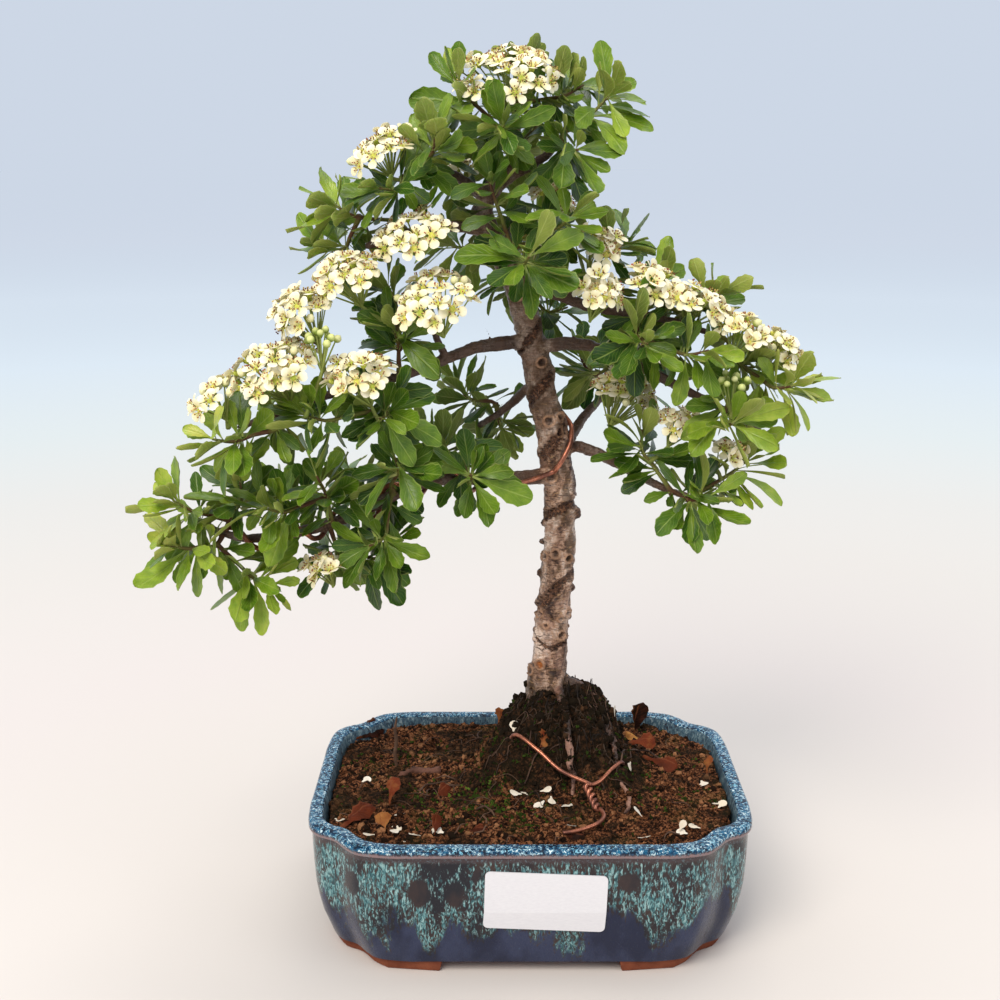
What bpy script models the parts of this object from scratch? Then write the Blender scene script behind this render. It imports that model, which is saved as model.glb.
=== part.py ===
# A pyracantha bonsai in flower, in its glazed pot.
# Metres, +Z up. Places and sizes below are in millimetres from the middle of the pot's foot,
# +X to the right, +Y to the back, and every solid is moved by PLACE when it is made.
import bpy
import math
import random
from mathutils import Vector
from mathutils.bvhtree import BVHTree
import bmesh

MM = 0.001
PLACE = Vector((16.3, -2.5, 0.0))
SEAT_GAP = 0.35
UP = Vector((0.0, 0.0, 1.0))
GOLDEN_ANGLE = math.radians(137.5)

# Pot
POT_WIDTH = 170.0
POT_DEPTH = 132.6
POT_HEIGHT = 53.5
FOOT_HEIGHT = 4.8
FLOOR_TOP = 11.0
WALL_AT_RIM = 5.2
DRAIN_RADIUS = 7.0
DRAIN_SPACING = 80.0
# One corner of the plan, from the end of the side wall to the end of the front wall, drawn in
# between two soft roundings.
CORNER = ((0.0, -38.0), (-1.4, -24.0), (-5.4, -17.4), (-11.9, -13.4), (-17.0, -6.6),
          (-22.4, -2.2), (-34.0, 0.0))
# Walls from the foot up and down again inside: how far they are drawn in at the sides, at the
# front and back, and the height.
OUTER_WALL = ((8.4, 6.4, 4.8), (6.8, 5.2, 9.0), (4.4, 3.5, 16.0), (2.1, 1.8, 28.0), (1.2, 1.2, 49.2),
              (0.0, 0.0, 50.4), (0.0, 0.0, 52.6), (0.9, 0.9, POT_HEIGHT))
INNER_WALL = ((WALL_AT_RIM, WALL_AT_RIM, POT_HEIGHT), (6.4, 6.4, 50.0), (7.6, 7.4, 30.0), (11.0, 9.6, 16.0),
              (15.5, 13.0, FLOOR_TOP))
FOOT_LENGTH_FRONT = 42.0
FOOT_LENGTH_SIDE = 34.0
FOOT_WIDTH = 13.0

# Soil
SOIL_EDGE = 49.6
MOUND_PLACE = (12.0, 9.0)
MOUND_HEIGHT = 34.5
MOUND_SPREAD = 27.0
MOUND_POWER = 3.2
DOME_HEIGHT = 3.6
DOME_SPREAD = 48.0
# Twigs on the soil: the middle line as (x, y, height above the soil, radius).
LYING_STUB = ((-50.5, 6, 0.9, 1.9), (-43.5, 6, 1.2, 2.1), (-36.5, 5, 1.4, 1.8))
STANDING_TWIG = ((-54, 14, -3.0, 0.8), (-55, 13, 11.0, 0.7), (-54, 14, 22.0, 0.5))
# Dead leaves on the soil: where the stalk lies, the way the leaf points, the way its top faces,
# its length and its width.
DEAD_LEAVES = (((-69, -31), (0.68, -0.62, 0.2), (-0.1, 0.0, 1.0), 16.0, 7.0),
               ((-55, -20), (0.1, 0.3, 0.95), (-0.8, -0.5, 0.2), 10.0, 6.0),
               ((-58, -35), (0.9, 0.1, 0.25), (0.1, 0.0, 1.0), 7.0, 4.5),
               ((52, 53), (-0.15, 0.1, 0.95), (-0.5, -0.8, 0.2), 13.0, 6.0),
               ((50, 4), (0.9, 0.1, 0.2), (0.0, -0.3, 1.0), 14.0, 6.0))
DEAD_LEAF_SINK = 0.5

# Wood: the middle line of each limb as (x, y, z, radius).
TRUNK = ((10, 14, 42, 8.5), (9, 13, 58, 11.5), (8, 12, 72, 10.6), (7, 12, 86, 7.8), (9, 11, 104, 7.0),
         (10, 10, 124, 6.9), (12, 9, 141, 6.4), (12, 8, 157, 6.4), (12, 8, 170, 6.6), (10, 7, 183, 6.4),
         (8, 6, 195, 6.2), (5, 5, 207, 5.9), (2, 5, 222, 5.7), (-2, 3, 238, 5.4), (-6, 2, 252, 5.1),
         (-12, 0, 264, 4.7), (-18, -3, 273, 4.3), (-18, -3, 281, 4.0), (-12, -1, 287, 3.6),
         (-6, 2, 295, 3.0), (-6, 3, 303, 2.5), (-6, 4, 310, 1.8))
BRANCHES = {
    "apex right": ((-10, 0, 289, 2.4), (1, 1, 294, 2.0), (9, 0, 300, 1.7), (14, 2, 309, 1.4)),
    "shoulder": ((-17, -3, 281, 2.6), (-24, -6, 288, 2.2), (-32, -9, 291, 1.8), (-42, -12, 290, 1.4)),
    "upper left": ((-17, -3, 270, 2.9), (-28, -8, 272, 2.4), (-40, -12, 271, 2.0), (-60, -17, 265, 1.5)),
    "left": ((1, 3, 229, 3.4), (-14, -4, 228, 2.9), (-23, -9, 227, 2.5), (-34, -15, 223, 2.3),
             (-47, -22, 219, 2.1), (-61, -27, 216, 2.0), (-76, -31, 213, 1.8), (-90, -34, 207, 1.6),
             (-104, -37, 203, 1.3)),
    "left riser": ((-31, -14, 224, 1.8), (-35, -17, 233, 1.6), (-38, -20, 243, 1.3)),
    "back left": ((3, 5, 213, 2.6), (-4, 14, 206, 2.1), (-10, 20, 199, 1.8), (-20, 25, 192, 1.4)),
    "low left": ((11, 8, 176, 3.8), (0, 1, 176, 3.4), (-15, -5, 176, 3.0), (-29, -9, 178, 2.8),
                 (-42, -13, 177, 2.7), (-52, -17, 173, 2.6), (-62, -20, 168, 2.5), (-74, -23, 164, 2.4),
                 (-88, -27, 161, 2.2), (-102, -31, 160, 2.0), (-113, -34, 163, 1.6), (-119, -36, 168, 1.3)),
    "right upper": ((-4, 2, 248, 3.0), (7, 0, 248, 2.7), (14, -4, 245, 2.4), (24, -8, 242, 2.1),
                    (36, -11, 241, 1.9), (52, -13, 238, 1.6), (67, -15, 233, 1.3)),
    "right": ((0, 5, 226, 3.2), (15, 3, 228, 2.8), (24, -1, 227, 2.5), (34, -8, 223, 2.3),
              (45, -13, 219, 2.2), (56, -14, 213, 2.0), (67, -13, 208, 1.8), (78, -11, 200, 1.5),
              (87, -8, 196, 1.1)),
    "low right": ((11, 8, 187, 3.0), (21, 6, 187, 2.7), (29, 2, 184, 2.3), (40, -4, 179, 2.0),
                  (51, -10, 174, 1.7), (60, -13, 172, 1.4)),
    "back": ((1, 4, 224, 3.0), (3, 18, 230, 2.5), (1, 32, 238, 2.0), (-4, 46, 243, 1.4)),
    "back right": ((11, 8, 180, 3.0), (17, 22, 189, 2.5), (26, 36, 198, 2.0), (36, 47, 204, 1.4)),
    "back top": ((-13, 0, 265, 2.6), (-6, 12, 270, 2.1), (2, 26, 273, 1.6), (4, 36, 277, 1.2)),
}
THORNS = {
    "left tip": ((-104, -37, 203), (-116, -40, 202), 0.9),
    "left": ((-62, -27, 216), (-66, -34, 206), 0.8),
    "left inner": ((-14, -4, 228), (-18, -10, 238), 0.9),
    "right": ((15, 3, 228), (19, -2, 236), 0.9),
    "right outer": ((34, -8, 223), (38, -12, 232), 0.8),
    "right upper": ((14, -4, 245), (16, -8, 254), 1.2),
    "low right": ((29, 2, 184), (33, -1, 192), 0.8),
    "low left": ((-74, -23, 164), (-78, -30, 158), 0.8),
    "low left inner": ((-15, -5, 176), (-18, -12, 182), 0.8),
    "back": ((3, 18, 230), (6, 22, 239), 0.9),
}
# Surface roots: the middle line as (x, y, height above the soil, radius).
ROOTS = {
    "front": ((11, 10, 5.0, 2.8), (12, 3, 0.8, 2.3), (13.5, -4, 0.6, 2.0), (15.5, -11, 0.5, 1.8),
              (16.5, -17, 0.0, 1.5), (17, -22, -6.0, 1.2)),
    "right": ((13, 12, 2.0, 3.0), (22, 9, 0.7, 2.3), (28, 5, 0.6, 2.0), (32, 0, 0.4, 1.8),
              (34, -5, 0.0, 1.5), (33.5, -9, -2.5, 1.4), (33, -12, -5.0, 1.3)),
    "loop": ((33.5, -9, -2.5, 1.2), (35, -13, 0.2, 1.1), (38.5, -18, 1.3, 1.05), (40, -24, 1.3, 1.0),
             (37, -31, 0.8, 0.95), (33, -34, -6.0, 0.9)),
    "back": ((8, 16, 4.0, 3.0), (5, 27, 0.3, 2.4), (0, 38, -0.2, 1.8), (-3, 45, -6.0, 1.3)),
}

# Wires
WIRE_RADIUS = 1.0
WIRE_GRIP = 0.75
WIRE_GRIP_TRUNK = 0.9
TRUNK_TURN = ((206, 85), (202, 60), (198.5, 35), (195.5, 10), (193.5, -12), (189.5, -38), (185, -64), (180.5, -90),
              (178, -112))
BRANCH_TURN_LENGTH = 21.0
BRANCH_TURN_START = math.radians(-95)
BRANCH_TURN_STEP = math.radians(45)
BRANCH_TURN_SPAN = (0.13, 0.94)
ANCHOR_RADIUS = 0.8
ANCHOR_TWIST = ((22, -23), (26, -33))
# The two arms and the tail of the tie, as (x, y, height above the soil).
ANCHOR_ARMS = (((-10, -2, -9.0), (-6, -6, 1.3), (3, -14, 1.6), (12, -20, 2.2)),
               ((38.5, -5, -9.0), (37.5, -8, 1.3), (33, -14.5, 3.4), (27, -21, 2.8)))
ANCHOR_TAIL = ((28, -38, 2.0), (25, -44, 1.8), (18, -48, 1.6), (12, -49, 1.4))
ANCHOR_TWIST_TURNS = 2.5

# Leafy shoots: each spray is a list of shoots, and each shoot has the place of its leaf rosette
# and the places that its most visible leaves reach out to.
SPRAYS = {
    "apex_left": (((-22, -8, 316), ((-43, -10, 319), (-36, -14, 306))),
                  ((-11, -15, 305), ((-18, -30, 293), (-4, -32, 300)))),
    "apex_top": (((-6, 9, 323), ((-8, 6, 337), (6, 12, 333))),
                 ((12, 2, 318), ((26, 0, 329), (19, -10, 331)))),
    "apex_right": (((22, -5, 312), ((41, -10, 314), (33, -14, 303))),
                   ((12, -9, 299), ((27, -16, 291), (14, -28, 292)))),
    "apex_back": (((-8, 24, 296), ((-22, 38, 292),)),
                  ((7, 25, 314), ((18, 42, 318),)),
                  ((-27, 19, 288), ((-42, 26, 292), (-34, 14, 300)))),
    "shoulder_left": (((-48, -19, 285), ((-60, -26, 288), (-54, -34, 278))),
                      ((-35, -20, 298), ((-44, -26, 308),))),
    "upper_left": (((-64, -19, 276), ((-87, -22, 270), (-79, -26, 282), (-72, -12, 291))),
                   ((-68, -12, 264), ((-88, -8, 262),))),
    "centre_front": (((-3, -28, 260), ((-22, -38, 270), (1, -42, 244), (16, -38, 254), (-16, -44, 254))),
                     ((-13, -17, 281), ((-27, -28, 286),))),
    "centre_right": (((9, -15, 271), ((24, -24, 280), (26, -26, 266))),
                     ((31, 12, 262), ((44, 14, 266), (42, 22, 254)))),
    "right_upper": (((66, 0, 243), ((81, 6, 245), (82, -6, 238))),
                    ((46, 4, 245), ((52, 20, 252),))),
    "right_upper_front": (((38, -20, 232), ((32, -34, 220), (46, -36, 226))),
                          ((56, -24, 227), ((62, -40, 216), (70, -36, 224)))),
    "right": (((79, -6, 220), ((96, 4, 224), (86, 12, 230))),
              ((89, -18, 214), ((111, -20, 213), (101, -30, 204))),
              ((70, -24, 203), ((80, -38, 192), (60, -38, 196)))),
    "right_back": (((46, 6, 228), ((58, 20, 224),)), ((26, 20, 213), ((22, 38, 210),))),
    "low_right": (((60, -20, 172), ((68, -34, 160), (80, -28, 164), (46, -34, 168))),
                  ((76, -12, 181), ((97, -14, 178), (88, -20, 170), (84, 2, 190))),
                  ((42, -10, 189), ((34, -26, 182),))),
    "left_inner": (((-48, -24, 231), ((-40, -42, 226), (-32, -36, 220))),
                   ((-50, -8, 244), ((-48, 6, 254),))),
    "left_front": (((-52, -36, 207), ((-44, -50, 196), (-34, -44, 206), (-60, -54, 200))),
                   ((-73, -41, 206), ((-82, -54, 200),))),
    "left_tip": (((-105, -44, 199), ((-116, -56, 192), (-122, -42, 204))),
                 ((-92, -26, 204), ((-100, -10, 206),))),
    "back_left": (((-24, 31, 202), ((-38, 36, 208), (-14, 42, 206))),
                  ((-11, 28, 190), ((4, 40, 186),))),
    "low_inner": (((-22, -20, 180), ((0, -24, 173), (-12, -34, 170))),
                  ((-34, 4, 186), ((-22, 12, 192),))),
    "low_front": (((-48, -34, 187), ((-40, -50, 178), (-30, -46, 186), (-62, -50, 182), (-52, -46, 203))),
                  ((-54, -28, 160), ((-48, -38, 143), (-38, -34, 154)))),
    "low_middle": (((-75, -32, 178), ((-70, -48, 188), (-84, -46, 186))),
                   ((-89, -38, 172), ((-96, -54, 178),))),
    "low_tip": (((-105, -34, 176), ((-104, -30, 193), (-112, -46, 187))),
                ((-122, -40, 173), ((-144, -46, 175), (-134, -42, 188), (-136, -52, 166)))),
    "low_end": (((-123, -44, 160), ((-143, -48, 148), (-136, -36, 156))),
                ((-102, -34, 146), ((-117, -38, 135), (-95, -42, 128)))),
    "low_under": (((-72, -18, 150), ((-76, -8, 136),)),
                  ((-58, -14, 148), ((-64, -22, 131), (-46, -10, 138)))),
    "low_back": (((-64, 2, 172), ((-72, 18, 176), (-56, 20, 168))),
                 ((-92, -8, 168), ((-102, 8, 172),))),
    "back": (((-9, 56, 249), ((-22, 64, 244), (2, 68, 246))),
             ((8, 36, 236), ((22, 44, 240),))),
    "back_top": (((2, 38, 272), ((-12, 52, 274), (16, 50, 268))),
                 ((-26, 26, 262), ((-42, 36, 262),))),
    "back_right": (((45, 54, 207), ((56, 66, 202), (60, 46, 212))),
                   ((24, 46, 212), ((10, 52, 218),))),
}
LEAVES_PER_SHOOT = 5
LEAF_LENGTH = (16.0, 24.0)
LEAF_STATIONS = ((0.24, 0.32), (0.52, 0.84), (0.80, 0.94))
LEAF_WIDTH_RATIO = 0.42
LEAF_KEEL = 0.8
OPENINGS = (74.0, 46.0, 86.0, 58.0, 68.0, 32.0, 90.0, 52.0)
LEAF_TRIES = 26
SHOOT_TIP = 6.0
STEM_STEP = 8.0
ROSETTE_BACK = 1.0
ROSETTE_STEP = 2.0

# Heads of flowers: middle of the dome, half width, height of the dome, flowers.
BLOOMS = {
    "apex": ((-9, -6, 324.5), 18.5, 8.0, 12),
    "shoulder": ((-54, -15, 298), 13.0, 6.5, 9),
    "trunk_left": ((-26, 4, 290), 6.0, 4.0, 3),
    "upper_left": ((-42, -26, 270), 14.0, 5.5, 8),
    "left_high": ((-64, -34, 255), 12.5, 8.0, 9),
    "left_outer": ((-80, -36, 242), 11.5, 8.5, 9),
    "left_centre": ((-34, -36, 246), 15.0, 10.0, 10),
    "left_broad": ((-90, -42, 223), 16.0, 10.0, 12),
    "left_end": ((-112, -40, 214), 10.0, 6.0, 5),
    "left_front": ((-60, -46, 222), 11.5, 9.0, 8),
    "behind_trunk": ((9, 12, 280), 9.0, 6.0, 5),
    "centre_right": ((25, -6, 264), 8.5, 7.5, 6),
    "right_inner": ((24, -22, 248), 8.5, 7.5, 6),
    "right_crest_inner": ((45, -14, 250), 11.0, 6.0, 7),
    "right_crest": ((60, -18, 244), 11.0, 6.0, 7),
    "right_crest_outer": ((77, -21, 234), 10.0, 7.0, 6),
    "right_end": ((92, -8, 226), 9.5, 7.0, 7),
    "right_shaded": ((36, 4, 206), 13.0, 9.0, 11),
    "right_under": ((55, -14, 199), 8.0, 6.0, 5),
    "right_low": ((73, -16, 190), 6.5, 4.5, 3),
    "low_left": ((-76, -34, 150), 7.0, 5.0, 4),
    "back": ((1, 46, 258), 12.0, 8.0, 8),
    "back_right": ((44, 52, 216), 11.0, 8.0, 7),
}
FLOWER_RADIUS = 5.2
FLOWER_WAIST = 3.3
FLOWER_CUP = 1.0
CORE_SHARE = (0.50, 0.50)
CORE_DROP = 1.6
CORE_FINE_FROM = 8
FLOWER_SIZES = (1.06, 0.72)
FLOWER_TRIES = 30
BUDS = {
    "left": ((-73, -47, 232), 5.0, 5),
    "right": ((72, -28, 214), 5.0, 5),
}
BUD_RADIUS = 1.9
BUD_CORE = 0.98

# Label
LABEL_MIDDLE = (5.0, 32.1)
LABEL_SIZE = (44.7, 23.3)
LABEL_THICKNESS = 0.5
LABEL_TURN = math.radians(-2.5)


def material(name, color, roughness, metallic=0.0):
    """A plain material in the colour of one part."""
    result = bpy.data.materials.new(name)
    result.use_nodes = True
    shader = result.node_tree.nodes["Principled BSDF"]
    shader.inputs["Base Color"].default_value = (*color, 1.0)
    shader.inputs["Roughness"].default_value = roughness
    shader.inputs["Metallic"].default_value = metallic
    return result


def make_object(name, solid, surface, smooth=True):
    """An object in metres from a solid in millimetres, with its faces turned outwards."""
    points, faces = solid
    mesh = bpy.data.meshes.new(name)
    mesh.from_pydata([Vector(p) * MM + PLACE * MM for p in points], [], faces)
    work = bmesh.new()
    work.from_mesh(mesh)
    bmesh.ops.recalc_face_normals(work, faces=work.faces)
    bmesh.ops.triangulate(work, faces=work.faces)
    work.to_mesh(mesh)
    work.free()
    if smooth:
        mesh.shade_smooth()
        mesh.set_sharp_from_angle(angle=math.radians(40))
    mesh.materials.append(surface)
    result = bpy.data.objects.new(name, mesh)
    bpy.context.scene.collection.objects.link(result)
    return result


def combine(target, tools, operation, solver="EXACT"):
    """One Boolean of a target object with a collection of tools, applied."""
    group = bpy.data.collections.new("tools")
    bpy.context.scene.collection.children.link(group)
    for tool in tools:
        group.objects.link(tool)
    step = target.modifiers.new("combine", "BOOLEAN")
    step.operation = operation
    step.operand_type = "COLLECTION"
    step.collection = group
    step.solver = solver
    graph = bpy.context.evaluated_depsgraph_get()
    mesh = bpy.data.meshes.new_from_object(target.evaluated_get(graph))
    target.modifiers.clear()
    target.data = mesh
    for tool in tools:
        bpy.data.objects.remove(tool)
    bpy.data.collections.remove(group)
    return target


def keep_largest(target):
    """Drops the loose scraps that a Boolean leaves beside the main body."""
    work = bmesh.new()
    work.from_mesh(target.data)
    left = set(work.verts)
    bodies = []
    while left:
        body = set()
        edge = [next(iter(left))]
        while edge:
            vert = edge.pop()
            if vert in body:
                continue
            body.add(vert)
            edge += [link.other_vert(vert) for link in vert.link_edges]
        left -= body
        bodies.append(body)
    bodies.sort(key=len)
    loose = [vert for body in bodies[:-1] for vert in body]
    bmesh.ops.delete(work, geom=loose, context="VERTS")
    work.to_mesh(target.data)
    work.free()
    return target


def fuse(name, solids, surface, solver="EXACT"):
    """One closed body from solids that run into each other."""
    first = make_object(name, solids[0], surface)
    rest = [make_object(f"{name} tool", solid, surface) for solid in solids[1:]]
    return combine(first, rest, "UNION", solver) if rest else first


def smooth_route(points, steps):
    """Points spaced evenly by count on a smooth curve through the given points."""
    count = len(points)
    result = []
    for index in range(steps):
        place = index / (steps - 1) * (count - 1)
        span = min(int(place), count - 2)
        t = place - span
        before = points[max(span - 1, 0)]
        start, end = points[span], points[span + 1]
        after = points[min(span + 2, count - 1)]
        result.append(tuple(
            0.5 * (2 * b + (c - a) * t + (2 * a - 5 * b + 4 * c - d) * t * t + (3 * b - a - 3 * c + d) * t ** 3)
            for a, b, c, d in zip(before, start, end, after)))
    return result


def loft(rings):
    """A closed solid through rings of equal count, with flat ends."""
    sides = len(rings[0])
    points = [point for ring in rings for point in ring]
    faces = []
    for level in range(len(rings) - 1):
        for side in range(sides):
            turn = (side + 1) % sides
            low = level * sides
            faces.append((low + side, low + turn, low + sides + turn, low + sides + side))
    faces.append(tuple(reversed(range(sides))))
    faces.append(tuple(range((len(rings) - 1) * sides, len(rings) * sides)))
    return points, faces


def tube(route, sides, longer=0.0, first_way=None):
    """A round solid along a route of (x, y, z, radius), a little longer at both ends if asked."""
    places = [Vector(p[:3]) for p in route]
    places[0] += (places[0] - places[1]).normalized() * longer
    places[-1] += (places[-1] - places[-2]).normalized() * longer
    rings = []
    across = None
    for index, place in enumerate(places):
        ahead = places[min(index + 1, len(places) - 1)] - places[max(index - 1, 0)]
        if index == 0 and first_way is not None:
            ahead = first_way.copy()
        ahead.normalize()
        if across is None:
            across = ahead.orthogonal().normalized()
        across = (across - ahead * across.dot(ahead)).normalized()
        other = ahead.cross(across)
        radius = route[index][3]
        rings.append([tuple(place + radius * (across * math.cos(a) + other * math.sin(a)))
                      for a in (2 * math.pi * k / sides for k in range(sides))])
    return loft(rings)


def spike(base, tip, radius):
    """A thorn with three sides."""
    return tube(((*base, radius), (*tip, radius * 0.15)), 3)


def tree_of(solid):
    """A search tree of a solid's faces, for testing what would cross it."""
    return BVHTree.FromPolygons([Vector(p) for p in solid[0]], solid[1])


# Pot

def outline(side_inset, front_inset, height):
    """The pot's plan at one height, drawn in by two insets."""
    half_x = POT_WIDTH / 2 - side_inset
    half_y = POT_DEPTH / 2 - front_inset
    quarter = [(half_x + x, half_y + y, height) for x, y in CORNER]
    ring = list(quarter)
    ring += [(-x, y, z) for x, y, z in reversed(quarter)]
    ring += [(-x, -y, z) for x, y, z in quarter]
    ring += [(x, -y, z) for x, y, z in reversed(quarter)]
    return ring


def foot(sign_x, sign_y):
    """One low foot that wraps a corner."""
    rings = []
    for side_inset, front_inset, height in ((9.0, 7.4, 0.0), (8.6, 6.7, FOOT_HEIGHT + 1.0)):
        half_x = POT_WIDTH / 2 - side_inset
        half_y = POT_DEPTH / 2 - front_inset
        lean = height * 0.5
        plan = [(half_x, half_y - FOOT_LENGTH_SIDE - lean)]
        plan += [(half_x + x, half_y + y) for x, y in CORNER[1:-1]]
        plan += [(half_x - FOOT_LENGTH_FRONT - lean, half_y)]
        plan += [(half_x - FOOT_LENGTH_FRONT - lean, half_y - FOOT_WIDTH)]
        plan += [(half_x - FOOT_WIDTH - 10.0, half_y - FOOT_WIDTH)]
        plan += [(half_x - FOOT_WIDTH, half_y - FOOT_WIDTH - 10.0)]
        plan += [(half_x - FOOT_WIDTH, half_y - FOOT_LENGTH_SIDE - lean)]
        rings.append([(sign_x * x, sign_y * y, height) for x, y in plan])
    return loft(rings)


def build_pot(surface):
    rings = [outline(*level) for level in OUTER_WALL + INNER_WALL]
    pot = make_object("pot", loft(rings), surface)
    feet = [make_object("foot", foot(sx, sy), surface) for sx in (-1, 1) for sy in (-1, 1)]
    combine(pot, feet, "UNION")
    holes = []
    for sign in (-1, 1):
        x = sign * DRAIN_SPACING / 2
        route = ((x, 0, -1.0, DRAIN_RADIUS), (x, 0, FLOOR_TOP + 2.0, DRAIN_RADIUS))
        holes.append(make_object("hole", tube(route, 10), surface))
    return combine(pot, holes, "DIFFERENCE")


def build_drain_mesh(name, x, surface):
    """A net of square holes that lies over one drain hole."""
    cells = 5
    pitch = 4.4
    half = cells * pitch / 2
    low = FLOOR_TOP + SEAT_GAP
    work = bmesh.new()
    corners = [[work.verts.new((x - half + i * pitch, -half + j * pitch, low)) for j in range(cells + 1)]
               for i in range(cells + 1)]
    for i in range(cells):
        for j in range(cells):
            if i % 2 == 1 and j % 2 == 1:
                continue
            work.faces.new((corners[i][j], corners[i + 1][j], corners[i + 1][j + 1], corners[i][j + 1]))
    lifted = bmesh.ops.extrude_face_region(work, geom=list(work.faces))
    moved = [part for part in lifted["geom"] if isinstance(part, bmesh.types.BMVert)]
    bmesh.ops.translate(work, verts=moved, vec=(0.0, 0.0, 1.4))
    work.verts.index_update()
    points = [tuple(v.co) for v in work.verts]
    faces = [tuple(v.index for v in f.verts) for f in work.faces]
    work.free()
    return make_object(name, (points, faces), surface, smooth=False)


# Soil

def soil_height(x, y):
    """The height of the soil's surface, with its mound round the trunk."""
    away = math.hypot(x - MOUND_PLACE[0], y - MOUND_PLACE[1])
    mound = MOUND_HEIGHT * math.exp(-(away / MOUND_SPREAD) ** MOUND_POWER)
    dome = DOME_HEIGHT * math.exp(-(away / DOME_SPREAD) ** 2)
    crumbs = 0.5 * math.sin(x * 0.31 + 1.0) * math.cos(y * 0.27) + 0.4 * math.sin(x * 0.13 - y * 0.41)
    return SOIL_EDGE + mound + dome + crumbs * min(1.0, away * away / 400.0)


def build_soil(surface, wood, anchor):
    rings = []
    for level in ((16.2, 13.7, FLOOR_TOP + SEAT_GAP), (11.5, 10.1, 16.2), (8.0, 7.8, 30.0)):
        rings.append(outline(*level))
    edge = outline(6.9, 6.9, 0.0)
    for share in (1.0, 0.74, 0.52, 0.38, 0.25, 0.12):
        ring = []
        for x, y, _ in edge:
            px = MOUND_PLACE[0] * (1 - share) + x * share
            py = MOUND_PLACE[1] * (1 - share) + y * share
            ring.append((px, py, soil_height(px, py)))
        rings.append(ring)
    soil = make_object("soil", loft(rings), surface)
    scraps = [tube([(x, y, soil_height(x, y) + lift, r) for x, y, lift, r in LYING_STUB], 6),
              tube([(x, y, soil_height(x, y) + lift, r) for x, y, lift, r in STANDING_TWIG], 4)]
    for (x, y), way, face, length, width in DEAD_LEAVES:
        start = Vector((x, y, soil_height(x, y) - DEAD_LEAF_SINK))
        along = Vector(way).normalized()
        scraps.append(loose_leaf(start, along, square_to(Vector(face), along), length, width, 0.1))
    combine(soil, [make_object("scrap", scrap, surface) for scrap in scraps], "UNION")
    cutters = [make_object("cutter", solid, surface) for solid in wood + anchor]
    for sign in (-1, 1):
        half = 5 * 4.4 / 2 + SEAT_GAP
        x = sign * DRAIN_SPACING / 2
        ring = [(x - half, -half), (x + half, -half), (x + half, half), (x - half, half)]
        box = loft([[(px, py, z) for px, py in ring] for z in (FLOOR_TOP - 1.0, FLOOR_TOP + 2.1)])
        cutters.append(make_object("cutter", box, surface))
    return keep_largest(combine(soil, cutters, "DIFFERENCE"))


# Wood

def wood_solids(swell=0.0):
    """The trunk, its branches, thorns and surface roots, made thicker by a clearance."""
    def limb(route, steps, sides):
        fine = smooth_route(route, steps)
        return tube([(x, y, z, r + swell) for x, y, z, r in fine], sides, swell)

    solids = [limb(TRUNK, 24, 9)]
    for route in BRANCHES.values():
        solids.append(limb(route, len(route) + 1, 5))
    for route in ROOTS.values():
        laid = [(x, y, soil_height(x, y) + lift, r) for x, y, lift, r in route]
        solids.append(limb(laid, len(route) + 1, 5))
    for base, tip, radius in THORNS.values():
        solids.append(spike(base, tip, radius + swell))
    return solids


def carriers():
    """Seats for shoots along the limbs: place, radius, the limb's direction, and whether it is an end."""
    found = []
    upper = [point for point in TRUNK if point[2] > 250]
    for route in [upper] + list(BRANCHES.values()):
        fine = smooth_route(route, 12 * len(route))
        for index in range(6, len(fine) - 12):
            ahead = Vector(fine[index + 1][:3]) - Vector(fine[index - 1][:3])
            found.append((Vector(fine[index][:3]), fine[index][3], ahead.normalized(), False))
        ahead = Vector(fine[-1][:3]) - Vector(fine[-2][:3])
        found.append((Vector(fine[-1][:3]), fine[-1][3], ahead.normalized(), True))
    return found


# Wires

def around(place, ahead, radius, angle):
    """A point beside a limb, at an angle round it measured from straight up."""
    side = ahead.cross(UP).normalized()
    over = side.cross(ahead).normalized()
    return place + radius * (over * math.cos(angle) + side * math.sin(angle))


def training_wire(radius=WIRE_RADIUS):
    """A turn round the trunk's front, then a helix out along the lower left branch."""
    route = []
    fine = smooth_route(TRUNK, 200)
    for height, degrees in TRUNK_TURN:
        angle = math.radians(degrees)
        x, y, z, r = min(fine, key=lambda p: abs(p[2] - height))
        reach = r + WIRE_RADIUS + WIRE_GRIP_TRUNK
        route.append((x + reach * math.cos(angle), y + reach * math.sin(angle), height))
    limb = smooth_route(BRANCHES["low left"], 240)
    first, last = (int(share * 240) for share in BRANCH_TURN_SPAN)
    travel = 0.0
    turned = 0.0
    for index in range(first, last):
        place, following = Vector(limb[index][:3]), Vector(limb[index + 1][:3])
        if travel / BRANCH_TURN_LENGTH * 2 * math.pi >= turned:
            reach = limb[index][3] + WIRE_RADIUS + WIRE_GRIP
            ahead = (following - place).normalized()
            route.append(tuple(around(place, ahead, reach, BRANCH_TURN_START + turned)))
            turned += BRANCH_TURN_STEP
        travel += (following - place).length
    return tube([(*point, radius) for point in route], 4)


def anchor_wires(radius=ANCHOR_RADIUS):
    """Two ends of one tie: out of the soil, twisted together, and a bent tail."""
    (sx, sy), (ex, ey) = ANCHOR_TWIST
    arms = []
    for arm, shift in zip(ANCHOR_ARMS, (0.0, math.pi)):
        route = [(x, y, soil_height(x, y) + lift) for x, y, lift in arm]
        for step in range(1, 10):
            t = step / 9
            x, y = sx + (ex - sx) * t, sy + (ey - sy) * t
            angle = shift + 2 * math.pi * ANCHOR_TWIST_TURNS * t
            middle = soil_height(x, y) + 2.6
            route.append((x + 0.95 * math.cos(angle), y, middle + 0.95 * math.sin(angle)))
        if shift:
            route += [(x, y, soil_height(x, y) + lift) for x, y, lift in ANCHOR_TAIL]
        arms.append(tube([(*point, radius) for point in route], 4, radius - ANCHOR_RADIUS))
    return arms


# Growing one part out of another

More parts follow.
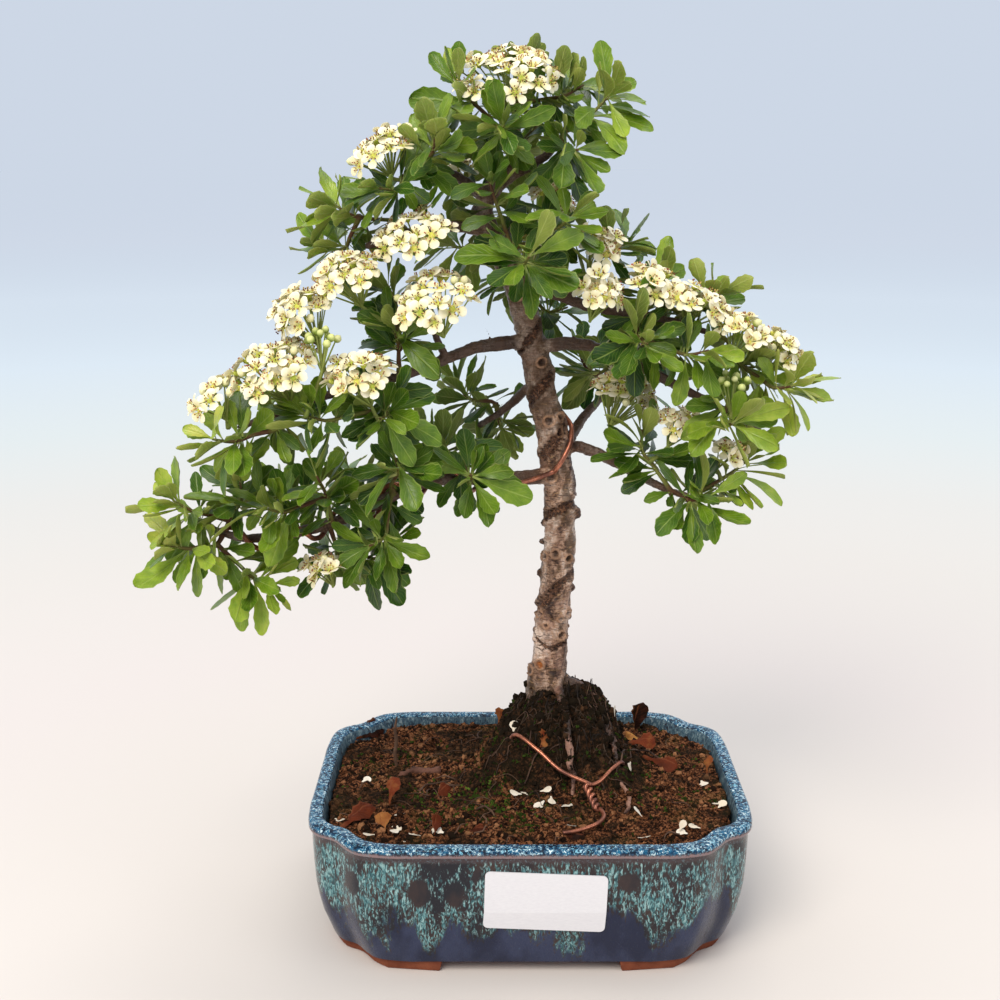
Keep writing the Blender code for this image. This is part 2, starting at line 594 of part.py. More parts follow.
class Growth:
    """A closed solid of triangles, out of whose faces leaves, stems and flowers are drawn."""

    def __init__(self, solid):
        self.points = [Vector(p) for p in solid[0]]
        self.faces = []
        for face in solid[1]:
            for k in range(1, len(face) - 1):
                self.faces.append((face[0], face[k], face[k + 1]))

    def middle(self, index):
        return sum((self.points[k] for k in self.faces[index]), Vector()) / 3

    def normal(self, index):
        a, b, c = (self.points[k] for k in self.faces[index])
        return (b - a).cross(c - a).normalized()

    def best_face(self, indices, place, along, least=0.2):
        """The free face nearest to a place among those that look the way of the growth."""
        free = [i for i in indices if self.faces[i] is not None and self.normal(i).dot(along) > least]
        if not free:
            return None
        return min(free, key=lambda i: (self.middle(i) - place).length - 1.5 * self.normal(i).dot(along))

    def add_ring(self, base, ring):
        """Joins a ring of three to the three corners that it grows from; both turn the same way."""
        shift = min(range(3), key=lambda s: sum((self.points[base[k]] - ring[(k + s) % 3]).length
                                                for k in range(3)))
        start = len(self.points)
        self.points += [Vector(ring[(k + shift) % 3]) for k in range(3)]
        new = (start, start + 1, start + 2)
        for k in range(3):
            turn = (k + 1) % 3
            self.faces.append((base[k], base[turn], new[turn]))
            self.faces.append((base[k], new[turn], new[k]))
        return new

    def draw_out(self, index, rings, tip=None):
        """Draws a face out through rings of three, to a tip or a flat end."""
        base = self.faces[index]
        self.faces[index] = None
        first_new = len(self.faces)
        for ring in rings:
            base = self.add_ring(base, ring)
        if tip is None:
            self.faces.append(base)
        else:
            self.points.append(Vector(tip))
            end = len(self.points) - 1
            self.faces += [(base[0], base[1], end), (base[1], base[2], end), (base[2], base[0], end)]
        return range(first_new, len(self.faces))

    def solid(self):
        return [tuple(p) for p in self.points], [f for f in self.faces if f is not None]

    def state(self, index):
        return len(self.points), len(self.faces), index, self.faces[index]

    def undo(self, state):
        """Takes back the growth made since a state was noted."""
        points, faces, index, base = state
        del self.points[points:]
        del self.faces[faces:]
        self.faces[index] = base

    def new_faces_cross(self, state):
        """Whether the faces grown since a state cut through any that they don't adjoin."""
        old = [f for f in self.faces[:state[1]] if f is not None]
        new = self.faces[state[1]:]
        points = [tuple(p) for p in self.points]
        pairs = BVHTree.FromPolygons(points, old).overlap(BVHTree.FromPolygons(points, new))
        inner = BVHTree.FromPolygons(points, new)
        pairs_inside = [(a, b) for a, b in inner.overlap(inner) if not set(new[a]) & set(new[b])]
        return bool(pairs_inside) or any(not set(old[a]) & set(new[b]) for a, b in pairs)


# Leaves and shoots

def leaf_rings(middle, along, face, length, width, arch, swell=0.0):
    """The cross-sections of a leaf, flat above and keeled below, and its tip."""
    side = face.cross(along).normalized()
    rings = []
    for share, half in LEAF_STATIONS:
        place = middle + along * (share * length) - face * (arch * share * share * length)
        reach = side * (half * width / 2 + swell)
        lift = face * swell
        rings.append((place + reach + lift, place - reach + lift, place - face * (LEAF_KEEL + swell)))
    return rings, middle + along * (length + swell) - face * (arch * length)


def leaf_solid(corners, rings, tip):
    """A leaf by itself, from the three corners that it grows from."""
    body = Growth(([tuple(c) for c in corners], [(0, 2, 1), (0, 1, 2)]))
    body.draw_out(1, rings, tip)
    return body.solid()


def loose_leaf(base, along, face, length, width, arch):
    """A fallen leaf, closed at its stalk."""
    rings, tip = leaf_rings(base, along, face, length, width, arch)
    return leaf_solid([point - along * (0.2 * length) for point in scaled(rings[0], 0.5)], rings, tip)


def scaled(points, share):
    """Points drawn together round their middle."""
    middle = sum((Vector(p) for p in points), Vector()) / len(points)
    return [middle + (Vector(p) - middle) * share for p in points]


def crosses(solid, obstacles):
    """Whether a solid touches any of the trees it is tested against."""
    tree = tree_of(solid)
    return any(tree.overlap(obstacle) for obstacle in obstacles)


def shoot_route(start, leave, hub):
    """A green stem from its seat to its rosette and a little beyond."""
    reach = (hub - start).length
    bend = start + leave * min(3.0, reach * 0.3) + (hub - start) * 0.15
    middle = start.lerp(hub, 0.6) + leave * 1.0
    tip = shoot_tip(hub, start)
    return ((*start, 1.2), (*(start + leave * 0.8), 1.2), (*bend, 1.2), (*middle, 1.1), (*hub, 1.0), (*tip, 0.7))


def shoot_tip(hub, start):
    """Where a shoot ends: on along the stem, up and out of the crown."""
    out = Vector((hub.x + 6.0, hub.y, 0.0)).normalized()
    aim = (hub - start).normalized() * 0.8 + UP * 0.55 + out * 0.45
    return hub + aim.normalized() * SHOOT_TIP


def seat_beside(target, seat, radius, ahead, is_end):
    """Where a stem starts beside a limb or on its end, and the way it leaves."""
    if is_end:
        return seat + ahead * SEAT_GAP, ahead
    off = target - seat
    leave = off - ahead * off.dot(ahead)
    leave = leave.normalized() if leave.length > 0.5 else (UP - ahead * ahead.z).normalized()
    return seat + leave * (radius + SEAT_GAP), leave


def reaches(target, seat):
    """How far a seat is from a target, without the ends that look another way."""
    off = target - seat[0]
    if seat[3] and off.normalized().dot(seat[2]) < 0.6:
        return 1000.0
    return off.length - (3.0 if seat[3] else 0.0)


def stem_lines(shoots, seats, obstacles):
    """The middle lines of one spray: the first from the wood, the others from the first."""
    lines = []
    for place, _ in shoots:
        hub = Vector(place)
        if lines:
            fine = smooth_route(lines[0], 60)
            starts = sorted((Vector(p[:3]) for p in fine[14:42]), key=lambda point: (point - hub).length)
            ways = [(start, (hub - start).normalized()) for start in starts]
        else:
            ranked = sorted(seats, key=lambda seat: reaches(hub, seat))[::3]
            ways = [seat_beside(hub, *seat) for seat in ranked]
        options = [shoot_route(start, leave, hub) for start, leave in ways]
        clear = (line for line in options if not crosses(stem_solid(line), obstacles))
        lines.append(next(clear, options[0]))
    return lines


def stem_solid(line, swell=0.1):
    """A stem by itself, a little thickened, for testing."""
    return tube([(*p[:3], p[3] + swell) for p in stem_rings(line)], 3, first_way=leaving(line))


def leaving(line):
    """The way a stem leaves its seat."""
    return Vector(line[1][:3]) - Vector(line[0][:3])


def stem_rings(line, extra=()):
    """Rings along a stem: sparse up to its rosette, close together where its leaves grow."""
    fine = smooth_route(line, 120)
    hub = Vector(line[-2][:3])
    nearest = min(range(120), key=lambda i: (Vector(fine[i][:3]) - hub).length)
    travel = [0.0]
    for a, b in zip(fine, fine[1:]):
        travel.append(travel[-1] + (Vector(b[:3]) - Vector(a[:3])).length)
    crown = travel[nearest] - ROSETTE_BACK
    marks = [0.0]
    while marks[-1] + STEM_STEP * 1.5 < crown:
        marks.append(marks[-1] + STEM_STEP)
    for place in extra:
        spot = travel[min(range(120), key=lambda i: (Vector(fine[i][:3]) - place).length)]
        marks = [m for m in marks if abs(m - spot) > 1.6 or m == 0.0] + [spot - 0.9, spot + 0.9]
    marks = sorted(m for m in marks if m < crown - 0.8)
    steps = max(3, round((travel[-1] - crown) / ROSETTE_STEP))
    marks += [crown + (travel[-1] - crown) * k / steps for k in range(steps + 1)]
    route = []
    for mark in marks:
        route.append(fine[min(range(120), key=lambda i: abs(travel[i] - mark))])
    return route


def square_to(face, along):
    """The part of a direction that is square to another, as a unit vector."""
    face = face - along * face.dot(along)
    return face.normalized() if face.length > 0.2 else along.orthogonal().normalized()


def leaf_candidates(key, index, hub, tip, targets):
    """Ways to place one leaf of a rosette, the best first."""
    draw = random.Random(f"{key} {index}")
    aim = (tip - hub).normalized()
    first = aim.orthogonal().normalized()
    second = aim.cross(first)
    for attempt in range(LEAF_TRIES):
        loose = attempt / LEAF_TRIES
        base = hub.lerp(tip, 0.9 * draw.random())
        if index < len(targets):
            along = Vector(targets[index]) - base
            length = min(along.length, LEAF_LENGTH[1] + 3.0)
            length *= 1.0 - 0.35 * loose
            wander = Vector((draw.gauss(0, 1), draw.gauss(0, 1), draw.gauss(0, 1)))
            along = (along.normalized() + wander * 0.55 * loose).normalized()
        else:
            angle = index * GOLDEN_ANGLE + draw.uniform(-0.3, 0.3) + loose * draw.uniform(-3.0, 3.0)
            opening = math.radians(OPENINGS[index % len(OPENINGS)] + draw.uniform(-12, 12) * (1 + 2 * loose))
            around_aim = first * math.cos(angle) + second * math.sin(angle)
            along = aim * math.cos(opening) + around_aim * math.sin(opening)
            length = draw.uniform(*LEAF_LENGTH) * (1.0 - 0.3 * loose)
        open_face = UP * 0.9 + aim * 0.5 + Vector((0.0, -0.35, 0.0))
        open_face += Vector((draw.gauss(0, 0.25), draw.gauss(0, 0.25), 0.0))
        arch = draw.uniform(-0.02, 0.2)
        along = (along + square_to(open_face, along) * arch).normalized()
        width = length * LEAF_WIDTH_RATIO * draw.uniform(0.9, 1.1)
        yield base, along, square_to(open_face, along), length, width, arch


def grow_leaf(body, crown, candidate, foreign, own):
    """Draws one leaf out of a stem's crown if it clears everything; says whether it did."""
    base, along, face, length, width, arch = candidate
    index = body.best_face(crown, base, along)
    if index is None:
        return False
    root = body.middle(index) + body.normal(index) * 0.9
    corners = [body.points[k] for k in body.faces[index]]
    lifted = [corner + body.normal(index) * 0.12 for corner in scaled(corners, 0.9)]
    wide = leaf_solid(lifted, *leaf_rings(root, along, face, length, width, arch, swell=0.3))
    if crosses(wide, foreign):
        return False
    tight = leaf_solid(lifted, *leaf_rings(root, along, face, length, width, arch, swell=0.06))
    if crosses(tight, own):
        return False
    state = body.state(index)
    body.draw_out(index, *leaf_rings(root, along, face, length, width, arch))
    if body.new_faces_cross(state):
        body.undo(state)
        return False
    own.append(tree_of(tight))
    return True


def grow_spray(name, shoots, lines, foreign, count):
    """One spray: its stems and its leaves, each clear of its neighbours."""
    first = stem_rings(lines[0], [Vector(line[0][:3]) for line in lines[1:]])
    body = Growth(tube(first, 3, first_way=leaving(lines[0])))
    steps = len(body.faces)
    crowns = [crown_faces(body, range(steps), lines[0])]
    for line in lines[1:]:
        grown = grow_side_stem(body, list(range(steps)), line)
        crowns.append(crown_faces(body, grown, line))
    own = [tree_of(body.solid())]
    for number, ((_, targets), line, crown) in enumerate(zip(shoots, lines, crowns)):
        hub, tip = Vector(line[-2][:3]), Vector(line[-1][:3])
        for index in range(count):
            for candidate in leaf_candidates(f"{name} {number}", index, hub, tip, targets):
                if grow_leaf(body, crown, candidate, foreign, own):
                    break
    return body.solid()


def grow_side_stem(body, faces, line):
    """Draws a second stem out of the first, from the first face that lets it clear the rest."""
    start = Vector(line[0][:3])
    along = (Vector(line[2][:3]) - start).normalized()
    rest = stem_rings(line)[1:]
    while True:
        index = body.best_face(faces, start, along, -0.2)
        faces.remove(index)
        solid = tube([(*body.middle(index), 1.2)] + rest, 3)
        rings = [[Vector(p) for p in solid[0][k:k + 3]] for k in range(3, len(solid[0]), 3)]
        state = body.state(index)
        grown = body.draw_out(index, rings)
        if len(faces) < 4 or not body.new_faces_cross(state):
            return grown
        body.undo(state)


def crown_faces(body, indices, line):
    """The faces of a stem between its rosette's start and its tip."""
    hub, tip = Vector(line[-2][:3]), Vector(line[-1][:3])
    aim = (tip - hub).normalized()
    reach = (tip - hub).length
    return [i for i in indices if -ROSETTE_BACK - 0.4 < (body.middle(i) - hub).dot(aim) < reach + 0.5]


# Flowers

def star(middle, aim, turn, size=1.0):
    """The outline of five petals."""
    across = aim.orthogonal().normalized()
    other = aim.cross(across)
    points = []
    for index in range(10):
        angle = turn + index * math.pi / 5
        radius = (FLOWER_RADIUS if index % 2 == 0 else FLOWER_WAIST) * size
        lift = 0.0 if index % 2 == 0 else -0.5
        points.append(middle + radius * (across * math.cos(angle) + other * math.sin(angle)) + aim * lift)
    return points


def flower_solid(corners, outline_points, cup):
    """A flower by itself, from the three corners that it grows from."""
    body = Growth(([tuple(c) for c in corners], [(0, 2, 1), (0, 1, 2)]))
    grow_flower(body, 1, outline_points, cup)
    return body.solid()


def grow_flower(body, index, outline_points, cup):
    """Draws a face out into the cup of an open flower."""
    base = body.faces[index]
    body.faces[index] = None
    start = len(body.points)
    body.points += [Vector(p) for p in outline_points] + [Vector(cup)]
    centre = start + 10
    turn = min(range(10), key=lambda s: sum(
        (body.points[base[k]] - body.points[start + (s + (10 * k + 5) // 3) % 10]).length for k in range(3)))
    corner_of = [0 if k < 3 else (1 if k < 7 else 2) for k in range(10)]
    for k in range(10):
        here, there = start + (turn + k) % 10, start + (turn + k + 1) % 10
        body.faces.append((base[corner_of[k]], there, here))
        body.faces.append((here, there, centre))
        after = corner_of[(k + 1) % 10]
        if after != corner_of[k]:
            body.faces.append((base[corner_of[k]], base[after], there))


def ball(middle, radii, aim, subdivisions=1):
    """A faceted ball, taller or flatter along its aim."""
    work = bmesh.new()
    bmesh.ops.create_icosphere(work, subdivisions=subdivisions, radius=1.0)
    turn = aim.to_track_quat("Z", "X")
    points = [tuple(Vector(middle) + turn @ Vector((v.co.x * radii[0], v.co.y * radii[0], v.co.z * radii[1])))
              for v in work.verts]
    work.verts.index_update()
    faces = [tuple(v.index for v in f.verts) for f in work.faces]
    work.free()
    return points, faces


def head_aim(middle):
    """Which way a head of flowers faces: up, and out of the crown."""
    out = Vector((middle.x + 6.0, middle.y * 1.2 - 12.0, 0.0))
    return (UP * 0.9 + out.normalized() * 0.45).normalized()


def head_places(name, middle, width, height, count):
    """For each flower of a head, ways to place it on the dome, the best first."""
    draw = random.Random(f"head {name}")
    aim = head_aim(middle)
    across = aim.orthogonal().normalized()
    other = aim.cross(across)
    start = draw.uniform(0, 2 * math.pi)
    reach_wide = width - FLOWER_RADIUS * 0.55
    for index in range(count):
        ways = []
        for attempt in range(FLOWER_TRIES):
            loose = attempt / FLOWER_TRIES
            share = min(1.0, max(0.0, (index + 0.5 + loose * draw.uniform(-0.6, 0.6)) / count))
            lean = math.acos(1.0 - share * 0.96)
            angle = start + index * GOLDEN_ANGLE + loose * draw.uniform(-0.5, 0.5)
            outward = across * math.cos(angle) + other * math.sin(angle)
            place = middle + outward * (reach_wide * math.sin(lean)) + aim * (height * math.cos(lean))
            normal = outward * (math.sin(lean) / reach_wide) + aim * (math.cos(lean) / height)
            normal = (normal.normalized() + aim * (0.5 + loose * draw.uniform(-0.5, 0.6))).normalized()
            place += normal * (loose * draw.uniform(-1.6, 1.6))
            size = FLOWER_SIZES[0] + (FLOWER_SIZES[1] - FLOWER_SIZES[0]) * loose
            ways.append((place, normal, draw.uniform(0, 2 * math.pi), size))
        yield ways


def grow_stalk(body, faces, top, seats, foreign):
    """Draws a stalk out of the underside of a head to the first seat it can reach."""
    ranked = sorted(seats, key=lambda seat: reaches(top, seat) + max(0.0, seat[0].z - top.z))
    for seat in ranked[:300:4]:
        start, leave = seat_beside(top, *seat)
        way = (start - top).normalized()
        index = body.best_face(faces, top, way, 0.3)
        root = body.middle(index)
        reach = (root - start).length
        bend = start + leave * min(2.5, reach * 0.3)
        solid = tube(((*root.lerp(bend, 0.35), 1.0), (*bend, 0.95), (*start, 0.9)), 3)
        if crosses(solid, foreign):
            continue
        rings = [[Vector(p) for p in solid[0][k:k + 3]] for k in (0, 3, 6)]
        state = body.state(index)
        body.draw_out(index, rings)
        if not body.new_faces_cross(state):
            return tree_of(solid)
        body.undo(state)
    raise ValueError("no seat within reach of a head")


def build_head(name, seats, foreign):
    """A head of flowers: a small core, the flowers that stand out of it, and its stalk."""
    place, width, height, count = BLOOMS[name]
    middle = Vector(place)
    aim = head_aim(middle)
    core_wide = max(2.6, (width - FLOWER_RADIUS * 0.55) * CORE_SHARE[0])
    core_high = max(2.6, height * CORE_SHARE[1])
    core = middle - aim * CORE_DROP
    body = Growth(ball(core, (core_wide, core_high), aim, 1 if count < CORE_FINE_FROM else 2))
    original = range(len(body.faces))
    own = [grow_stalk(body, original, core, seats, foreign)]
    for ways in head_places(name, middle, width, height, count):
        for spot, normal, turn, size in ways:
            index = body.best_face(original, spot, normal, 0.3)
            if index is None:
                continue
            cup = spot - normal * FLOWER_CUP
            corners = [body.points[k] for k in body.faces[index]]
            lifted = [corner + body.normal(index) * 0.1 for corner in scaled(corners, 0.94)]
            alone = flower_solid(lifted, star(spot, normal, turn, size * 1.04), cup)
            if crosses(alone, own + foreign):
                continue
            state = body.state(index)
            grow_flower(body, index, star(spot, normal, turn, size), cup)
            if body.new_faces_cross(state):
                body.undo(state)
                continue
            own.append(tree_of(alone))
            break
    return body.solid()


def build_buds(name, seats, foreign):
    """A head still in bud: round buds close together on a short stalk."""
    place, spread, count = BUDS[name]
    middle = Vector(place)
    body = Growth(ball(middle, (spread * BUD_CORE, spread * BUD_CORE), UP))
    original = range(len(body.faces))
    grow_stalk(body, original, middle, seats, foreign)
    for index in range(count):
        angle = index * GOLDEN_ANGLE
        lean = math.acos(1.0 - (index + 0.5) / count)
        way = Vector((math.cos(angle) * math.sin(lean), math.sin(angle) * math.sin(lean), math.cos(lean)))
        face = body.best_face(original, middle + way * spread, way, 0.3)
        if face is None:
            continue
        root, out = body.middle(face), body.normal(face)
        corners = [body.points[k] for k in body.faces[face]]
        wide = [root + out * 1.6 + (corner - root).normalized() * BUD_RADIUS for corner in corners]
        high = [root + out * 2.9 + (corner - root).normalized() * BUD_RADIUS * 0.7 for corner in corners]
        body.draw_out(face, [wide, high], root + out * 3.7)
    return body.solid()


# Label

def build_label(surface):
    """A blank sticker that lies on the front wall and bends where the wall does."""
    half_w, half_h = LABEL_SIZE[0] / 2, LABEL_SIZE[1] / 2
    bend = OUTER_WALL[3][2]
    rings = []
    for w in (-half_h, None, half_h):
        ring = []
        for u, depth in ((-half_w, 0.0), (half_w, 0.0), (half_w, LABEL_THICKNESS), (-half_w, LABEL_THICKNESS)):
            z = bend if w is None else LABEL_MIDDLE[1] + w + u * math.sin(LABEL_TURN)
            wall = -(POT_DEPTH / 2 - wall_inset(z))
            lean = 0.0 if w is None else w * math.sin(LABEL_TURN)
            ring.append((LABEL_MIDDLE[0] + u - lean, wall - SEAT_GAP - depth, z))
        rings.append(ring)
    return make_object("label", loft(rings), surface, smooth=False)


def wall_inset(z):
    """How far the front wall is drawn in at a height."""
    levels = OUTER_WALL[:5]
    for (_, inset_a, low), (_, inset_b, high) in zip(levels, levels[1:]):
        if z <= high:
            return inset_a + (inset_b - inset_a) * (z - low) / (high - low)
    return levels[-1][1]


def main():
    for old in list(bpy.data.objects):
        bpy.data.objects.remove(old)
    glaze = material("glazed ceramic", (0.03, 0.09, 0.14), 0.2)
    earth = material("soil", (0.10, 0.045, 0.025), 0.95)
    bark = material("bark", (0.23, 0.17, 0.14), 0.8)
    copper = material("copper wire", (0.42, 0.16, 0.09), 0.35, 1.0)
    net = material("plastic net", (0.03, 0.03, 0.03), 0.6)
    paper = material("paper label", (0.85, 0.85, 0.86), 0.5)
    green = material("leaf", (0.09, 0.19, 0.03), 0.4)
    cream = material("petal", (0.85, 0.80, 0.62), 0.6)
    bud_green = material("bud", (0.45, 0.52, 0.22), 0.6)

    build_pot(glaze)
    build_drain_mesh("drain_mesh_left", -DRAIN_SPACING / 2, net)
    build_drain_mesh("drain_mesh_right", DRAIN_SPACING / 2, net)
    wood = wood_solids()
    fuse("trunk", wood, bark)
    wire = training_wire()
    make_object("training_wire", wire, copper)
    fuse("anchor_wire", anchor_wires(), copper)
    build_soil(earth, wood_solids(SEAT_GAP), anchor_wires(ANCHOR_RADIUS + SEAT_GAP))
    build_label(paper)

    seats = carriers()
    foreign = [tree_of(solid) for solid in wood] + [tree_of(wire)]
    lines = {}
    stem_trees = {}
    stem_seats = []
    for name, shoots in SPRAYS.items():
        taken = [tree for trees in stem_trees.values() for tree in trees]
        lines[name] = stem_lines(shoots, seats, foreign + taken)
        stem_trees[name] = [tree_of(stem_solid(line)) for line in lines[name]]
        for line in lines[name]:
            fine = smooth_route(line, 48)
            for index in range(26, 42):
                ahead = Vector(fine[index + 1][:3]) - Vector(fine[index - 1][:3])
                stem_seats.append((Vector(fine[index][:3]), fine[index][3], ahead.normalized(), False))

    stems = [tree for trees in stem_trees.values() for tree in trees]
    for name in BLOOMS:
        solid = build_head(name, seats + stem_seats, foreign + stems)
        foreign.append(tree_of(solid))
        make_object(f"bloom_{name}", solid, cream)
    for name in BUDS:
        solid = build_buds(name, seats + stem_seats, foreign + stems)
        foreign.append(tree_of(solid))
        make_object(f"buds_{name}", solid, bud_green)
    for name, shoots in SPRAYS.items():
        others = [tree for other, trees in stem_trees.items() if other != name for tree in trees]
        solid = grow_spray(name, shoots, lines[name], foreign + others, LEAVES_PER_SHOOT)
        foreign.append(tree_of(solid))
        make_object(f"spray_{name}", solid, green)


main()
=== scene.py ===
# A pyracantha bonsai in flower, dressed over its solids: glazed pot, mossy soil, scarred bark,
# copper wires, glossy toothed leaves and heads of cream flowers.
# Sizes and places are in millimetres from the middle of the pot's foot, +X right, +Y back.
import bpy
import math
import random
from mathutils import Matrix, Quaternion, Vector
from mathutils.bvhtree import BVHTree
from mathutils.kdtree import KDTree


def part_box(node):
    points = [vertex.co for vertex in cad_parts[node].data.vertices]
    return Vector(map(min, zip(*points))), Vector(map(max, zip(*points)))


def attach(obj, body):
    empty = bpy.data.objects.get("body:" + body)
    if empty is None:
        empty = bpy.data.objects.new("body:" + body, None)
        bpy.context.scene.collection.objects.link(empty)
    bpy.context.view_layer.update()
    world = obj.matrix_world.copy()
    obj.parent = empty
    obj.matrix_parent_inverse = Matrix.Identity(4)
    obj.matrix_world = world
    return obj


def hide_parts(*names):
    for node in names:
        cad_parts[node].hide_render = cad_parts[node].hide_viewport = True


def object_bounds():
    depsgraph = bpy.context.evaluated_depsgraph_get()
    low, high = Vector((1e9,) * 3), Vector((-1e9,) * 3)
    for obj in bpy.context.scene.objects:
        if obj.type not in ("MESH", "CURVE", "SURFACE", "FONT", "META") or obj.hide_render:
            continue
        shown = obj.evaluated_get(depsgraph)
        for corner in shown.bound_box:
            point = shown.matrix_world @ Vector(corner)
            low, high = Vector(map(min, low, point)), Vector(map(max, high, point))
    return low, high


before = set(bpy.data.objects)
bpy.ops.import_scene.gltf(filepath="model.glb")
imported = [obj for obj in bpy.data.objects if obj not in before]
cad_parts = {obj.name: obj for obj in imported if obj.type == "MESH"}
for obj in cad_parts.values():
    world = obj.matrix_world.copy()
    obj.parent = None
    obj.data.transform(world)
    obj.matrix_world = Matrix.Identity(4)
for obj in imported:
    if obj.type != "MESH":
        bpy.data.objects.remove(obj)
cad_box = [list(corner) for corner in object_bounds()]
bpy.ops.object.select_all(action="DESELECT")

MM = 0.001
UP = Vector((0.0, 0.0, 1.0))
DOWN = Vector((0.0, 0.0, -1.0))
GOLDEN_ANGLE = math.radians(137.5)
pot_low, pot_high = (Vector(corner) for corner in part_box("pot"))
POT_MIDDLE = Vector(((pot_low.x + pot_high.x) / 2, (pot_low.y + pot_high.y) / 2, 0.0)) / MM

# The view
CAMERA_PLACE = (-11.5, -531.3, 295.5)
CAMERA_TILT = math.radians(90 - 13.56)
CAMERA_LENS = 50.83
SENSOR_WIDTH = 36.0
FLOOR_RADIUS = 40.0
SKY = (0.61, 0.68, 0.79, 1.0)
# The floor's tone by the distance from the pot, as a share of the reach in metres below. It is painted light
# and shade: darker and warmer near the pot, against the lamps' brighter light there and as the warm shade
# under the pot, and paler and bluer far off, where the floor meets the sky.
FLOOR_PAINTED_LIGHT = ((0.0, (0.62, 0.565, 0.52)), (0.04, (0.628, 0.578, 0.536)), (0.063, (0.645, 0.588, 0.554)),
               (0.112, (0.668, 0.628, 0.582)), (0.155, (0.693, 0.67, 0.627)), (0.22, (0.731, 0.76, 0.732)),
               (0.33, (0.836, 0.889, 0.90)), (0.54, (0.97, 1.0, 1.0)), (1.0, (1.0, 1.0, 1.0)))
FLOOR_PAINTED_LIGHT_REACH = 5.0
# Lamps: place and size in metres, power in watts and colour
LAMPS = (("key", (-0.60, -1.10, 1.35), 1.0, 29.0, (1.0, 0.94, 0.85)),
         ("fill", (1.30, -0.70, 0.70), 0.9, 4.0, (1.0, 0.96, 0.90)),
         ("top", (0.20, 0.45, 1.60), 1.0, 11.0, (1.0, 0.96, 0.90)))
LAMPS_AIM = Vector((0.0, 0.0, 0.17))

# The pot
POT_WIDTH = 170.0
POT_DEPTH = 132.6
POT_HEIGHT = 53.5
FOOT_HEIGHT = 4.8
FLOOR_TOP = 11.0
DRAIN_RADIUS = 7.0
DRAIN_SPACING = 80.0
CORNER = ((0.0, -38.0), (-1.4, -24.0), (-5.4, -17.4), (-11.9, -13.4), (-17.0, -6.6),
          (-22.4, -2.2), (-34.0, 0.0))
# Two places on the straight walls beside a corner, which let it run into them without a crease.
EASED_CORNER = ((0.0, -50.0),) + CORNER + ((-47.0, 0.0),)
# How far the walls are drawn in at the sides and at the front, and the height, first outside from
# the foot up and then inside down to the floor.
OUTER_WALL = ((8.4, 6.4, 4.8), (7.5, 5.7, 7.0), (5.9, 4.6, 11.5), (4.3, 3.5, 16.0), (3.0, 2.5, 22.0),
              (2.1, 1.8, 28.0), (1.6, 1.4, 36.0), (1.3, 1.25, 44.0), (1.2, 1.2, 49.0), (0.9, 0.9, 49.6),
              (0.25, 0.25, 50.0), (0.0, 0.0, 50.6), (0.0, 0.0, 52.2), (0.35, 0.35, 53.0),
              (1.0, 1.0, 53.4), (1.8, 1.8, POT_HEIGHT))
INNER_WALL = ((4.2, 4.2, POT_HEIGHT), (4.9, 4.9, 53.3), (5.3, 5.3, 52.7), (5.8, 5.8, 51.0),
              (6.4, 6.4, 46.0), (7.6, 7.4, 30.0), (11.0, 9.6, 16.0), (15.5, 13.0, FLOOR_TOP))
# Inside, the clay is bare below the first height, and the thin glaze ends at the second.
INSIDE_BARE_BELOW = 25.0
INSIDE_GLAZE_TOP = 53.0
# Bare oval patches in the glaze of the front: x, height, half width and half height.
GLAZE_PATCHES = ((-41.0, 35.5, 4.2, 6.2), (-28.0, 35.0, 4.0, 5.6), (35.5, 40.0, 4.5, 4.0),
                 (-66.0, 37.0, 3.0, 5.0))
# Heights between which the glaze changes: from navy to the runs, where the runs thin out, from the
# wall to the brown lip, the paler line on it by its lower and upper edge (a painted highlight along
# the lip's bulge), and from the lip to the rim
NAVY_ENDS = (18.0, 20.5)
RUNS_THIN = (42.5, 47.5)
LIP_BEGINS = (47.2, 48.4)
PAINTED_HIGHLIGHT_BEGINS = (49.5, 50.1)
PAINTED_HIGHLIGHT_ENDS = (51.3, 50.8)
RIM_BEGINS = (51.2, 51.9)
# How far the feet stand in from the pot's widest plan, at the sides and at the front
FOOT_INSET = (9.0, 7.4)
FOOT_LENGTH_FRONT = 42.0
FOOT_LENGTH_SIDE = 34.0
FOOT_WIDTH = 13.0
FOOT_SLANT = 10.0
FOOT_OVERLAP = 0.6

# The soil, and how fine its skin is
SOIL_SKIN = 1.1
SOIL_EDGE = 49.6
MOUND_PLACE = (12.0, 9.0)
MOUND_HEIGHT = 34.5
MOUND_SPREAD = 27.0
MOUND_POWER = 3.2
DOME_HEIGHT = 3.6
DOME_SPREAD = 48.0
# A heap of fibrous soil on the mound's right shoulder
SHOULDER_PLACE = (26.0, 9.0)
SHOULDER_SPREAD = 9.0
SHOULDER_RISE = 5.0
# More than the height of the tallest scrap that stands on the CAD soil
SCRAP_SPAN = 60.0
# Half the soil's width and depth as far as things lie on it, and where its cut corners begin
LITTER_REACH = (77, 58)
LITTER_CORNER = (62, 44)
LITTER_TOP = 90.0
OVER_THE_SOIL = 120.0
# Grit and clods: place and spread (the whole soil where there is none), number, sizes and middle tint
GRIT_REGIONS = ((None, 760, (0.35, 0.62), 0.45), ((13, 9, 14), 330, (0.4, 0.75), 0.08))
CLOD_REGIONS = ((None, 900, (0.7, 1.7), 0.40), ((14, 9, 13), 230, (0.9, 2.3), 0.10),
                ((-52, -38, 12), 60, (1.2, 2.4), 0.30))
# Fine rootlets: how many, and for those near the mound and those farther off the place and spread,
# length, radius and height of the bow
THREADS = 270
NEAR_THREADS = ((14, 3, 12), (2.5, 8), (0.16, 0.18, 0.22, 0.26, 0.36), (0.2, 1.2))
FAR_THREADS = ((0, -4, 34), (5, 15), (0.18, 0.24, 0.36, 0.5), (0.4, 2.6))

# Crumbs or tufts are strewn by so many together.
HANDFUL = 5
